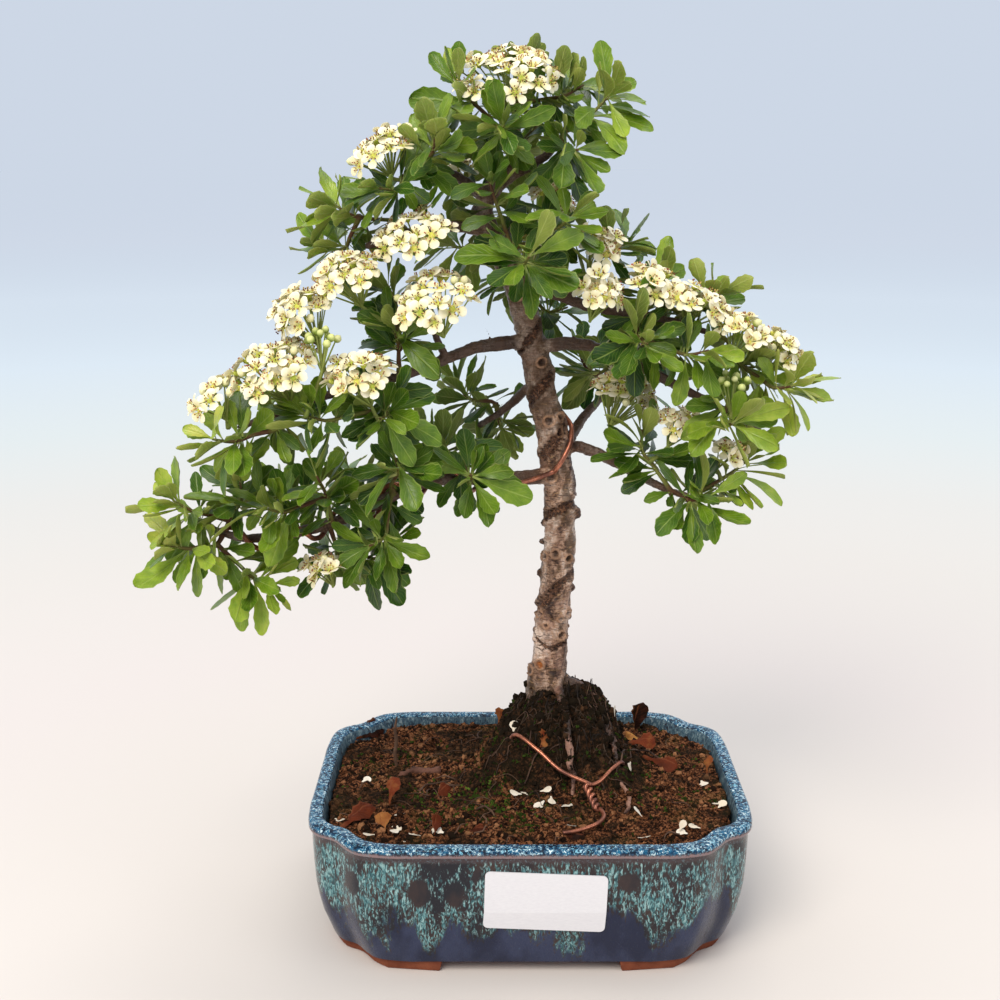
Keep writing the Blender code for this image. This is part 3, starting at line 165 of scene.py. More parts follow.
# Moss: middle of each patch, its spread, how many tufts, and how bright they are
MOSS_PATCHES = ((-14, -28, 6, 420, 0.8), (-4, -20, 8, 330, 0.45), (-21, -17, 6, 300, 0.95),
                (2, -37, 6, 260, 0.6), (22, 10, 8, 220, 0.4), (-31, -32, 8, 260, 0.6),
                (-46, 25, 8, 240, 0.7), (-41, -19, 5, 170, 0.8), (-33, -9, 4, 150, 1.0),
                (-10, 2, 10, 380, 0.35), (14, -14, 8, 330, 0.35), (-66, 14, 5, 120, 0.5),
                (34, -6, 8, 200, 0.35), (0, 20, 14, 330, 0.35), (53, 46, 3, 50, 1.0),
                (66, -18, 6, 130, 0.7), (60, 20, 9, 130, 0.5), (-60, -12, 7, 160, 0.6),
                (28, -30, 9, 130, 0.4), (44, -12, 7, 160, 0.6))

# The roots below this height are strewn with soil like the mound.
ROOTS_TOP = 88.0

# Twigs on the soil: the middle line as (x, y, height above the soil, radius)
LYING_STUB = ((-53.5, 4, 0.3, 0.5), (-51.5, 5, 0.6, 1.1), (-47, 7, 0.9, 1.5), (-43.5, 6, 0.9, 1.8),
              (-40, 5.5, 1.0, 1.4), (-36.5, 5, 1.0, 1.7), (-35.8, 5, 1.0, 1.2))
STANDING_TWIG = ((-54, 14, -3.0, 0.8), (-55, 13, 5.0, 0.75), (-54.4, 13.4, 11.0, 0.8),
                 (-54.8, 13, 17.0, 0.55), (-54, 14, 22.0, 0.35))

# How fine the bark is, and heights between which it changes: paler upwards, browner near the top,
# darker on the thin limbs, like earth on the roots, darker up the roots, and dirty at the foot
BARK_SKIN = 0.65
PALER = (95.0, 150.0)
BROWNER = (178.0, 212.0)
LIMBS_DARKER = (96.0, 112.0)
ROOTS_EARTHY = (98.0, 88.0)
ROOTS_DARKER = (56.0, 86.0)
FOOT_DIRTY = (94.0, 80.0)
# The wood: the middle line of each limb as (x, y, z, radius)
TRUNK = ((10, 14, 42, 8.5), (9, 13, 58, 11.5), (8, 12, 72, 10.6), (7, 12, 86, 7.8), (9, 11, 104, 7.0),
         (10, 10, 124, 6.9), (12, 9, 141, 6.4), (12, 8, 157, 6.4), (12, 8, 170, 6.6), (10, 7, 183, 6.4),
         (8, 6, 195, 6.2), (5, 5, 207, 5.9), (2, 5, 222, 5.7), (-2, 3, 238, 5.4), (-6, 2, 252, 5.1),
         (-12, 0, 264, 4.7), (-18, -3, 273, 4.3), (-18, -3, 281, 4.0), (-12, -1, 287, 3.6),
         (-6, 2, 295, 3.0), (-6, 3, 303, 2.5), (-6, 4, 310, 1.8))
LOW_LEFT_BRANCH = ((11, 8, 176, 3.8), (0, 1, 176, 3.4), (-15, -5, 176, 3.0), (-29, -9, 178, 2.8),
                   (-42, -13, 177, 2.7), (-52, -17, 173, 2.6), (-62, -20, 168, 2.5),
                   (-74, -23, 164, 2.4), (-88, -27, 161, 2.2), (-102, -31, 160, 2.0),
                   (-113, -34, 163, 1.6), (-119, -36, 168, 1.3))
# Scars of an old wire round the trunk, as places of (height, degrees from +X) and a half width.
SCARS = ((((138, -5), (133, -70), (126, -117), (121, -170), (114, -235), (106, -300)), 2.4),
         (((165, 5), (164.5, -60), (162.0, -110), (159, -165)), 2.4),
         (((197, -30), (193, -60), (188, -100), (184, -145)), 3.0),
         (((216, -30), (212, -80), (208, -130), (204, -175)), 2.6),
         (((111, 10), (107, -50), (105, -95), (108, -150)), 1.6),
         (((236, -20), (231, -80), (226, -140)), 2.0))
# How deep the groups of points on the wood go in, or how far out
RELIEF = (("scar_depth", -1.2), ("scar_rim", 0.8), ("rings", 1.35), ("eyes", -1.5), ("stubs", 2.6))
# Round scars of cut twigs: height, degrees and radius
KNOTS = ((119.9, -143, 2.4), (97.9, -123, 2.2), (94.5, -160, 2.2), (144.9, -107, 2.0), (142.9, -59, 1.9),
         (143.2, -155, 2.0), (176.3, -117, 2.5), (119.7, -31, 2.0), (117.9, -67, 1.2), (114.8, -114, 1.4),
         (110.6, -59, 2.1), (198.4, -90, 2.3), (199.4, -42, 1.8), (194.0, -58, 2.3), (152, 60, 2.2),
         (128, 110, 2.4), (102, 40, 2.0), (172, 100, 2.0), (221, -70, 2.0), (246, -100, 1.8))
# The knot whose cut wood is still orange: height, degrees and radius
FRESH_CUT = (97.9, -123, 1.9)
# Short stubs of twigs: height, degrees, radius and how far they stand out
STUBS = ((160.2, -8, 2.6, 1.6), (156.5, -172, 1.8, 1.0), (148.5, -178, 1.5, 1.8), (128.9, -2, 2.0, 1.3),
         (116.9, -6, 1.5, 1.0), (111.3, -172, 1.8, 0.9), (135, 170, 2.0, 1.2), (168, 20, 1.8, 1.0))

# The wires
WIRE_RADIUS = 1.0
# Gaps between wire and wood, for the roughness of the bark
WIRE_GAP_BRANCH = 0.45
WIRE_GAP_TRUNK = 0.9
TRUNK_TURN = ((206, 85), (202, 60), (198.5, 35), (195.5, 10), (193.5, -12), (189.5, -38), (185, -64),
              (180.5, -90), (178, -112))
BRANCH_TURN_LENGTH = 21.0
BRANCH_TURN_START = math.radians(-95)
BRANCH_TURN_STEP = math.radians(45)
BRANCH_TURN_SPAN = (0.13, 0.94)
ANCHOR_RADIUS = 0.8
ANCHOR_TWIST = ((22, -23), (26, -33))
ANCHOR_TWIST_TURNS = 2.5
ANCHOR_TWIST_RADIUS = 0.95
ANCHOR_TWIST_LIFT = 2.6
ANCHOR_ARMS = (((-10, -2, -9.0), (-6, -6, 1.3), (3, -14, 1.6), (12, -20, 2.2)),
               ((38.5, -5, -9.0), (37.5, -8, 1.3), (33, -14.5, 3.4), (27, -21, 2.8)))
ANCHOR_TAIL = ((28, -38, 2.0), (25, -44, 1.8), (18, -48, 1.6), (12, -49, 1.4))

# Leafy shoots: the place of each rosette and the places that its most visible leaves reach out to
SPRAYS = {
    "apex_left": (
        ((-22, -8, 316), ((-43, -10, 319), (-36, -14, 306))),
        ((-11, -15, 305), ((-18, -30, 293), (-4, -32, 300)))),
    "apex_top": (
        ((-6, 9, 323), ((-8, 6, 337), (6, 12, 333))), ((12, 2, 318), ((26, 0, 329), (19, -10, 331)))),
    "apex_right": (
        ((22, -5, 312), ((41, -10, 314), (33, -14, 303))),
        ((12, -9, 299), ((27, -16, 291), (14, -28, 292)))),
    "apex_back": (
        ((-8, 24, 296), ((-22, 38, 292),)), ((7, 25, 314), ((18, 42, 318),)),
        ((-27, 19, 288), ((-42, 26, 292), (-34, 14, 300)))),
    "shoulder_left": (
        ((-48, -19, 285), ((-60, -26, 288), (-54, -34, 278))), ((-35, -20, 298), ((-44, -26, 308),))),
    "upper_left": (
        ((-64, -19, 276), ((-87, -22, 270), (-79, -26, 282), (-72, -12, 291))),
        ((-68, -12, 264), ((-88, -8, 262),))),
    "centre_front": (
        ((-3, -28, 260), ((-22, -38, 270), (1, -42, 244), (16, -38, 254), (-16, -44, 254))),
        ((-13, -17, 281), ((-27, -28, 286),))),
    "centre_right": (
        ((9, -15, 271), ((24, -24, 280), (26, -26, 266))), ((31, 12, 262), ((44, 14, 266), (42, 22, 254)))),
    "right_upper": (
        ((66, 0, 243), ((81, 6, 245), (82, -6, 238))), ((46, 4, 245), ((52, 20, 252),))),
    "right_upper_front": (
        ((38, -20, 232), ((32, -34, 220), (46, -36, 226))),
        ((56, -24, 227), ((62, -40, 216), (70, -36, 224)))),
    "right": (
        ((79, -6, 220), ((96, 4, 224), (86, 12, 230))),
        ((89, -18, 214), ((111, -20, 213), (101, -30, 204))),
        ((70, -24, 203), ((80, -38, 192), (60, -38, 196)))),
    "right_back": (
        ((46, 6, 228), ((58, 20, 224),)), ((26, 20, 213), ((22, 38, 210),))),
    "low_right": (
        ((60, -20, 172), ((68, -34, 160), (80, -28, 164), (46, -34, 168))),
        ((76, -12, 181), ((97, -14, 178), (88, -20, 170), (84, 2, 190))),
        ((42, -10, 189), ((34, -26, 182),))),
    "left_inner": (
        ((-48, -24, 231), ((-40, -42, 226), (-32, -36, 220))), ((-50, -8, 244), ((-48, 6, 254),))),
    "left_front": (
        ((-52, -36, 207), ((-44, -50, 196), (-34, -44, 206), (-60, -54, 200))),
        ((-73, -41, 206), ((-82, -54, 200),))),
    "left_tip": (
        ((-105, -44, 199), ((-116, -56, 192), (-122, -42, 204))), ((-92, -26, 204), ((-100, -10, 206),))),
    "back_left": (
        ((-24, 31, 202), ((-38, 36, 208), (-14, 42, 206))), ((-11, 28, 190), ((4, 40, 186),))),
    "low_inner": (
        ((-22, -20, 180), ((0, -24, 173), (-12, -34, 170))), ((-34, 4, 186), ((-22, 12, 192),))),
    "low_front": (
        ((-48, -34, 187), ((-40, -50, 178), (-30, -46, 186), (-62, -50, 182), (-52, -46, 203))),
        ((-54, -28, 160), ((-48, -38, 143), (-38, -34, 154)))),
    "low_middle": (
        ((-75, -32, 178), ((-70, -48, 188), (-84, -46, 186))), ((-89, -38, 172), ((-96, -54, 178),))),
    "low_tip": (
        ((-105, -34, 176), ((-104, -30, 193), (-112, -46, 187))),
        ((-122, -40, 173), ((-144, -46, 175), (-134, -42, 188), (-136, -52, 166)))),
    "low_end": (
        ((-123, -44, 160), ((-143, -48, 148), (-136, -36, 156))),
        ((-102, -34, 146), ((-117, -38, 135), (-95, -42, 128)))),
    "low_under": (
        ((-72, -18, 150), ((-76, -8, 136),)), ((-58, -14, 148), ((-64, -22, 131), (-46, -10, 138)))),
    "low_back": (
        ((-64, 2, 172), ((-72, 18, 176), (-56, 20, 168))), ((-92, -8, 168), ((-102, 8, 172),))),
    "back": (
        ((-9, 56, 249), ((-22, 64, 244), (2, 68, 246))), ((8, 36, 236), ((22, 44, 240),))),
    "back_top": (
        ((2, 38, 272), ((-12, 52, 274), (16, 50, 268))), ((-26, 26, 262), ((-42, 36, 262),))),
    "back_right": (
        ((45, 54, 207), ((56, 66, 202), (60, 46, 212))), ((24, 46, 212), ((10, 52, 218),))),
}
LEAVES_PER_SHOOT = 20
STEM_LEAVES = 8
LEAF_LENGTH = (14.5, 22.0)
STEM_LEAF_LENGTH = (10.0, 17.0)
LEAF_WIDTH_RATIO = 0.38
LEAF_TRIES = 22
SHOOT_TIP = 8.0
# A line along a stem has so many steps, and later shoots leave the first one between these two.
STEM_STEPS = 60
FORKS_FROM, FORKS_TO = 16, 44
# How far the crown goes right and left of the trunk: the leaves are younger and paler towards its ends.
CROWN_RIGHT = 76.0
CROWN_LEFT = 150.0
# How far past the solids' box a leaf may reach: across, in depth and above.
LEAF_MARGIN = (3.0, 2.4, 4.0)
CROWN_MIDDLE = (-6.0, 2.0)
# How young, that is how bright a green, leaves are: at random by shoot, out at the crown's ends, over
# these heights towards its top, towards the end of a shoot, and at random by leaf
YOUNG_SHOOTS = 0.20
YOUNG_AT_ENDS = 0.62
YOUNG_ON_TOP = 0.2
TOP_BEGINS, TOP_SPAN = 190.0, 120.0
YOUNG_AT_TIP = 0.20
YOUNG_LEAVES = 0.15

# Heads of flowers: middle of the dome, half width, height of the dome, and how many flowers the
# solid has; the dressed head has more of them at the same size.
BLOOMS = {
    "apex": ((-9, -6, 324.5), 18.5, 8.0, 13),
    "shoulder": ((-54, -15, 298), 13.0, 6.5, 9),
    "trunk_left": ((-26, 4, 290), 6.0, 4.0, 3),
    "upper_left": ((-42, -26, 270), 14.0, 5.5, 8),
    "left_high": ((-64, -34, 255), 12.5, 8.0, 9),
    "left_outer": ((-80, -36, 242), 11.5, 8.5, 9),
    "left_centre": ((-34, -36, 246), 15.0, 10.0, 10),
    "left_broad": ((-90, -42, 223), 16.0, 10.0, 13),
    "left_end": ((-112, -40, 214), 10.0, 6.0, 5),
    "left_front": ((-60, -46, 222), 11.5, 9.0, 8),
    "behind_trunk": ((9, 12, 280), 9.0, 6.0, 5),
    "centre_right": ((25, -6, 264), 8.5, 7.5, 6),
    "right_inner": ((24, -22, 248), 8.5, 7.5, 6),
    "right_crest_inner": ((45, -14, 250), 11.0, 6.0, 7),
    "right_crest": ((60, -18, 244), 11.0, 6.0, 7),
    "right_crest_outer": ((77, -21, 234), 10.0, 7.0, 6),
    "right_end": ((92, -8, 226), 9.5, 7.0, 7),
    "right_shaded": ((36, 4, 206), 13.0, 9.0, 11),
    "right_under": ((55, -14, 199), 8.0, 6.0, 5),
    "right_low": ((73, -16, 190), 6.5, 4.5, 3),
    "low_left": ((-76, -34, 150), 7.0, 5.0, 4),
    "back": ((1, 46, 258), 12.0, 8.0, 8),
    "back_right": ((44, 52, 216), 11.0, 8.0, 7),
}
FLOWERS_FOR_ONE = 2.2
FLOWER_RADIUS = 5.2
BUD_SHARE = 0.13
# A head's dome: the share of a half ball that it covers, how much its flowers turn up and wander, and
# how far they stand in and out; and how far below it its stalks meet, with the share of its height
DOME_SHARE = 0.96
FLOWERS_UP = 0.3
FLOWERS_WANDER = 0.2
FLOWERS_IN_OUT = (-2.2, 0.8)
FLOWER_SIZES = (0.86, 1.03)
KNOT_BELOW, KNOT_BY_HEIGHT = 4.0, 0.9
# Kinds of open flower: how far the petals open in degrees, and a seed for their unevenness
FLOWER_KINDS = (("open flower", 80, 0.0), ("turned flower", 70, 1.7), ("cupped flower", 50, 3.1))
PETALS = 5
STAMENS = 14
# Bunches of buds: middle, radius, and how many buds the solid has
BUDS = {
    "left": ((-73, -47, 232), 5.0, 5),
    "right": ((72, -28, 214), 5.0, 5),
}
BUDS_FOR_ONE = 2.4


def at(x, y, z):
    """A place in metres in the frame."""
    return (POT_MIDDLE + Vector((x, y, z))) * MM


# Modelling by hand

def pick(piece):
    """Makes one piece the only one selected."""
    bpy.ops.object.select_all(action="DESELECT")
    piece.select_set(True)
    bpy.context.view_layer.objects.active = piece
    return piece


def edit(piece):
    """Opens one piece for modelling, with all of it selected."""
    pick(piece)
    bpy.ops.object.mode_set(mode="EDIT")
    bpy.ops.mesh.select_mode(type="VERT")
    bpy.ops.mesh.select_all(action="SELECT")


def edit_where(piece, test):
    """Opens one piece for modelling, with the points selected that pass a test."""
    edit(piece)
    bpy.ops.mesh.select_all(action="DESELECT")
    bpy.ops.object.mode_set(mode="OBJECT")
    for vertex in piece.data.vertices:
        vertex.select = test(vertex.co)
    bpy.ops.object.mode_set(mode="EDIT")


def done(piece):
    """Closes a piece after modelling, with its faces turned outwards."""
    bpy.ops.mesh.select_all(action="SELECT")
    bpy.ops.mesh.normals_make_consistent(inside=False)
    bpy.ops.object.mode_set(mode="OBJECT")
    return piece


def mark_along(piece, place_of):
    """Marks the corners of a piece's faces with their place across it and along it, for its finish."""
    along = piece.data.uv_layers.new(name="along")
    for loop in piece.data.loops:
        along.data[loop.index].uv = place_of(piece.data.vertices[loop.vertex_index].co / MM)


def smoothed(piece, degrees=None):
    """Shades a piece smooth, all over or up to an angle between its faces."""
    pick(piece)
    if degrees is None:
        bpy.ops.object.shade_smooth()
    else:
        bpy.ops.object.shade_smooth_by_angle(angle=math.radians(degrees))
    return piece


def own_copy(master):
    """A copy of a piece with a mesh of its own."""
    copy = master.copy()
    copy.data = master.data.copy()
    bpy.context.scene.collection.objects.link(copy)
    return copy


def held(share):
    """A share held between none and all."""
    return max(0.0, min(1.0, share))


def settle(piece):
    """Puts a piece's place, turn and size into its mesh."""
    pick(piece)
    bpy.ops.object.transform_apply(location=True, rotation=True, scale=True)
    return piece


def apply_step(piece, kind, **settings):
    """Adds a modifier with its settings and applies it."""
    pick(piece)
    step = piece.modifiers.new(kind.lower(), kind)
    for key, value in settings.items():
        setattr(step, key, value)
    bpy.ops.object.modifier_apply(modifier=step.name)


def join(pieces, name):
    """One piece out of many."""
    bpy.ops.object.select_all(action="DESELECT")
    for piece in pieces:
        piece.select_set(True)
    bpy.context.view_layer.objects.active = pieces[0]
    if len(pieces) > 1:
        bpy.ops.object.join()
    pieces[0].name = name
    pieces[0].data.name = name
    return settle(pieces[0])


def drawn_out(name, sides, stations, section=None):
    """A closed form drawn out along +Z through stations of (x, y, z, half width, half depth, turn)."""
    turn = math.pi / sides if sides == 6 else 0.0
    bpy.ops.mesh.primitive_circle_add(vertices=sides, radius=1.0, fill_type="NGON", rotation=(0, 0, turn))
    piece = settle(bpy.context.object)
    piece.name = name
    if section:
        section(piece)
    edit(piece)
    x, y, z, wide, deep, _ = stations[0]
    bpy.ops.transform.resize(value=(wide * MM, deep * MM, 1.0), center_override=(0, 0, 0))
    bpy.ops.transform.translate(value=(x * MM, y * MM, z * MM))
    for here, there in zip(stations, stations[1:]):
        step = [(b - a) * MM for a, b in zip(here[:3], there[:3])]
        centre = [value * MM for value in there[:3]]
        growth = (there[3] / here[3], there[4] / here[4], 1.0)
        bpy.ops.mesh.extrude_region_move(TRANSFORM_OT_translate={"value": step})
        bpy.ops.transform.resize(value=growth, center_override=centre)
        if there[5] != here[5]:
            bpy.ops.transform.rotate(value=there[5] - here[5], orient_axis="Z", center_override=centre)
    return done(piece)


def eased(points, t):
    """A place between the middle two of four points, on the smooth curve through them."""
    return tuple(0.5 * (2 * b + (c - a) * t + (2 * a - 5 * b + 4 * c - d) * t * t
                        + (3 * b - a - 3 * c + d) * t ** 3) for a, b, c, d in zip(*points))


def smooth_route(points, steps):
    """Points spaced evenly by count on a smooth curve through the given points."""
    count = len(points)
    result = []
    for index in range(steps):
        place = index / (steps - 1) * (count - 1)
        span = min(int(place), count - 2)
        nearby = (points[max(span - 1, 0)], points[span], points[span + 1], points[min(span + 2, count - 1)])
        result.append(eased(nearby, place - span))
    return result


def rod(name, route, finish, steps, round_steps):
    """A smooth round rod, closed at both ends, along a route of (x, y, z, radius)."""
    bpy.ops.curve.primitive_nurbs_path_add()
    piece = bpy.context.object
    piece.name = name
    curve = piece.data
    curve.splines.clear()
    spline = curve.splines.new("POLY")
    fine = smooth_route(route, steps)
    spline.points.add(len(fine) - 1)
    for point, (x, y, z, radius) in zip(spline.points, fine):
        point.co = (*at(x, y, z), 1.0)
        point.radius = radius
    curve.dimensions = "3D"
    curve.bevel_depth = MM
    curve.bevel_resolution = round_steps
    curve.use_fill_caps = True
    piece.matrix_world = Matrix.Identity(4)
    pick(piece)
    bpy.ops.object.convert(target="MESH")
    piece = bpy.context.object
    edit(piece)
    bpy.ops.mesh.remove_doubles(threshold=0.00001)
    done(piece)
    piece.data.materials.clear()
    piece.data.materials.append(finish)
    return smoothed(piece)


def copies(master, places, name, tints=None):
    """Copies of a master at many places, each with its own mesh and tint, joined into one piece."""
    made = []
    for index, place in enumerate(places):
        copy = own_copy(master)
        copy.matrix_world = place
        tint = copy.data.attributes.get("tint") or copy.data.attributes.new("tint", "FLOAT", "POINT")
        value = tints[index] if tints else 0.5
        tint.data.foreach_set("value", [value] * len(copy.data.vertices))
        made.append(copy)
    return join(made, name)


def placed(place, across, face, along, size):
    """The placing of a master by its origin, its three ways and its three sizes."""
    turn = Matrix((across, face, along)).transposed()
    scale = Matrix.Diagonal(Vector(size))
    return Matrix.Translation(at(*place)) @ (turn @ scale).to_4x4()


def aimed(place, aim, size, turn=0.0):
    """The placing of a master that points along an aim."""
    quaternion = aim.to_track_quat("Z", "Y") @ Quaternion((0.0, 0.0, 1.0), turn)
    scale = Matrix.Diagonal(Vector(size)).to_4x4()
    return Matrix.Translation(at(*place)) @ quaternion.to_matrix().to_4x4() @ scale


def bare_copy(name):
    """A copy of a CAD node without its finish and double points, opened for modelling."""
    piece = own_copy(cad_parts[name])
    piece.name = f"{name}_dressed"
    piece.data.materials.clear()
    edit(piece)
    bpy.ops.mesh.remove_doubles(threshold=0.000001)
    return piece


def finer_copy(name, voxel):
    """A finer copy of a CAD node, as one even skin."""
    piece = done(bare_copy(name))
    apply_step(piece, "REMESH", mode="VOXEL", voxel_size=voxel * MM)
    return piece


def points_of(piece):
    """A piece's points in millimetres from the pot's middle."""
    return [vertex.co / MM - POT_MIDDLE for vertex in piece.data.vertices]


def tree_of_node(name):
    """A search tree of a CAD node's faces."""
    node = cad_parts[name]
    return BVHTree.FromPolygons(points_of(node), [tuple(face.vertices) for face in node.data.polygons])


def tree_of_ground(pieces, top):
    """A search tree of the faces of finished pieces below a height."""
    points = []
    faces = []
    for piece in pieces:
        first = len(points)
        points += points_of(piece)
        own = [[first + index for index in face.vertices] for face in piece.data.polygons]
        faces += [face for face in own if all(points[index].z < top for index in face)]
    return BVHTree.FromPolygons(points, faces)


# Finishes

MOUND_AT = tuple(at(*MOUND_PLACE, SOIL_EDGE + 14.0))


class Finish:
    """A surface finish and the nodes that make it."""

    def __init__(self, name, **sockets):
        self.material = bpy.data.materials.new(name)
        self.material.use_nodes = True
        self.tree = self.material.node_tree
        self.shader = self.tree.nodes["Principled BSDF"]
        for key, value in sockets.items():
            self.shader.inputs[key.replace("_", " ")].default_value = value
        self.point = self.tree.nodes.new("ShaderNodeTexCoord").outputs["Object"]

    def node(self, kind, result, *inputs, **settings):
        """Adds one node with its inputs in order, and gives one of its results."""
        node = self.tree.nodes.new(kind)
        for key, value in settings.items():
            setattr(node, key, value)
        for socket, value in zip(node.inputs, inputs):
            if isinstance(value, bpy.types.NodeSocket):
                self.tree.links.new(value, socket)
            elif value is not None:
                socket.default_value = value
        return node.outputs[result]

    def math(self, operation, first, second=0.0, clamp=False):
        return self.node("ShaderNodeMath", 0, first, second, operation=operation, use_clamp=clamp)

    def add(self, first, second, clamp=False):
        return self.math("ADD", first, second, clamp)

    def minus(self, first, second):
        return self.math("SUBTRACT", first, second)

    def times(self, first, second):
        return self.math("MULTIPLY", first, second)

    def noise(self, scale, detail=3.0, rough=0.55, warp=0.0, turn=(0.0, 0.0, 0.0), place=(0.0, 0.0, 0.0)):
        """A cloudy pattern. Its scale is the clouds to a millimetre: one number, or one for each way."""
        ways = scale if isinstance(scale, tuple) else (scale, scale, scale)
        point = self.node("ShaderNodeMapping", 0, self.point, place, turn, tuple(way / MM for way in ways))
        return self.node("ShaderNodeTexNoise", "Fac", point, None, 1.0, detail, rough, 2.0, 0.0, 1.0, warp)

    def span(self, value, low, high, low_to=0.0, high_to=1.0):
        """A value drawn from one span to another, held at its ends."""
        return self.node("ShaderNodeMapRange", 0, value, low, high, low_to, high_to)

    def ramp(self, value, stops):
        """Colours along a value."""
        node = self.tree.nodes.new("ShaderNodeValToRGB")
        elements = node.color_ramp.elements
        elements[0].position, elements[0].color = stops[0][0], (*stops[0][1], 1.0)
        elements[1].position, elements[1].color = stops[-1][0], (*stops[-1][1], 1.0)
        for place, color in stops[1:-1]:
            elements.new(place).color = (*color, 1.0)
        self.tree.links.new(value, node.inputs[0])
        return node.outputs["Color"]

    def mix(self, share, first, second):
        """One colour over another by a share."""
        node = self.tree.nodes.new("ShaderNodeMix")
        node.data_type = "RGBA"
        for socket, value in ((node.inputs[0], share), (node.inputs[6], first), (node.inputs[7], second)):
            if isinstance(value, bpy.types.NodeSocket):
                self.tree.links.new(value, socket)
            else:
                socket.default_value = value if isinstance(value, float) else (*value, 1.0)
        return node.outputs[2]

    def attribute(self, name):
        return self.node("ShaderNodeAttribute", "Fac", attribute_name=name)

    def uv(self):
        node = self.tree.nodes.new("ShaderNodeUVMap")
        node.uv_map = "along"
        return node.outputs[0]

    def bump(self, height, depth, strength=1.0):
        """Relief of a depth in millimetres."""
        out = self.node("ShaderNodeBump", 0, strength, depth * MM)
        self.tree.links.new(height, out.node.inputs["Height"])
        self.tree.links.new(out, self.shader.inputs["Normal"])

    def color(self, socket):
        self.tree.links.new(socket, self.shader.inputs["Base Color"])

    def rough(self, socket):
        self.tree.links.new(socket, self.shader.inputs["Roughness"])


def glaze_finish():
    """Blue-green glaze that has run down in fine strokes over a dark brown body, indigo below; painted
    highlight on the lip.
    """
    f = Finish("glaze", Coat_Weight=0.30, Coat_Roughness=0.06, Specular_IOR_Level=0.15)
    apart = f.node("ShaderNodeSeparateXYZ", "X", f.point)
    height = f.times(apart.node.outputs["Z"], 1.0 / MM)
    runs = f.noise((0.10, 0.10, 0.016), 4.0)
    fur = f.noise((0.62, 0.62, 0.21), 3.0, 0.6, 1.3, turn=(0.0, math.radians(12), 0.0))
    hairs = f.noise((1.05, 1.05, 0.32), 3.0, 0.6, 1.4, turn=(0.0, math.radians(-16), 0.0))
    flecks = f.noise((1.1, 1.1, 0.45), 4.0, 0.7, 1.2, place=(3.0, 5.0, 0.0))
    patches = f.noise((0.085, 0.085, 0.055))
    body = f.mix(f.span(patches, 0.36, 0.62), (0.014, 0.014, 0.019), (0.050, 0.030, 0.026))
    crowd = f.span(patches, 0.36, 0.62, 0.56, 0.455)
    crowd = f.add(crowd, f.span(height, *RUNS_THIN, 0.0, 0.06))
    strokes = f.add(f.times(fur, 0.6), f.times(hairs, 0.4))
    streaks = f.span(f.minus(strokes, crowd), -0.04, 0.05)
    for x, z, wide, tall in GLAZE_PATCHES:
        off_x = f.times(f.minus(apart, (POT_MIDDLE.x + x) * MM), 1.0 / (wide * MM))
        off_z = f.times(f.minus(height, z), 1.0 / tall)
        away = f.add(f.times(off_x, off_x), f.times(off_z, off_z))
        away = f.add(away, f.span(flecks, 0.3, 0.7, -0.3, 0.3))
        streaks = f.times(streaks, f.span(away, 0.80, 1.1))
    turquoise = f.ramp(hairs, ((0.36, (0.012, 0.038, 0.048)), (0.46, (0.030, 0.100, 0.112)),
                               (0.54, (0.095, 0.225, 0.235)), (0.63, (0.27, 0.42, 0.41))))
    wall = f.mix(streaks, body, turquoise)
    lower_edge = f.add(height, f.span(runs, 0.34, 0.66, -11.0, 11.0))
    lower_edge = f.add(lower_edge, f.span(strokes, 0.35, 0.65, 5.0, -5.0))
    navy = f.mix(f.span(patches, 0.4, 0.6), (0.014, 0.018, 0.042), (0.030, 0.038, 0.078))
    navy = f.mix(f.span(flecks, 0.64, 0.74, 0.0, 0.35), navy, (0.09, 0.17, 0.26))
    wall = f.mix(f.span(lower_edge, *NAVY_ENDS), navy, wall)
    curls = f.noise(0.50, 1.0, 0.5, 1.9)
    broken = f.noise(0.8, 2.0, place=(5.0, 2.0, 8.0))
    broad = f.noise(0.3)
    beside = f.math("ABSOLUTE", f.minus(curls, 0.5))
    strands = f.times(f.span(beside, 0.055, 0.028), f.span(broken, 0.46, 0.53))
    deep = f.ramp(f.add(f.times(broad, 0.6), f.times(broken, 0.4)),
                  ((0.42, (0.003, 0.010, 0.024)), (0.49, (0.004, 0.046, 0.105)),
                   (0.57, (0.010, 0.115, 0.21))))
    rim = f.mix(strands, deep, f.mix(f.span(broad, 0.4, 0.6), (0.17, 0.42, 0.54), (0.70, 0.80, 0.78)))
    edge_line = f.add(height, f.span(flecks, 0.3, 0.7, -0.5, 0.5))
    # A paler band along the bulge of the brown lip: a painted highlight.
    line = f.times(f.span(edge_line, *PAINTED_HIGHLIGHT_BEGINS), f.span(edge_line, *PAINTED_HIGHLIGHT_ENDS))
    lip = f.mix(line, (0.060, 0.042, 0.045), (0.235, 0.155, 0.155))
    lip = f.mix(f.span(strands, 0.4, 0.9, 0.0, 0.4), lip, (0.16, 0.25, 0.29))
    wall = f.mix(f.span(edge_line, *LIP_BEGINS), wall, lip)
    f.color(f.mix(f.span(edge_line, *RIM_BEGINS), wall, rim))
    f.rough(f.span(streaks, 0.0, 1.0, 0.14, 0.30))
    f.bump(f.add(f.times(strokes, 0.8), flecks), 0.18, 0.5)
    return f.material


def inner_glaze_finish():
    """Thin bluish glaze inside the rim."""
    f = Finish("glaze inside", Coat_Weight=0.2, Coat_Roughness=0.15, Specular_IOR_Level=0.1)
    runs = f.noise((0.8, 0.8, 0.35), 4.0, 0.65, 1.0)
    f.color(f.ramp(runs, ((0.36, (0.035, 0.028, 0.032)), (0.46, (0.045, 0.085, 0.12)),
                          (0.55, (0.09, 0.15, 0.18)), (0.66, (0.27, 0.33, 0.34)))))
    f.rough(f.span(runs, 0.3, 0.7, 0.25, 0.5))
    f.bump(runs, 0.15, 0.4)
    return f.material


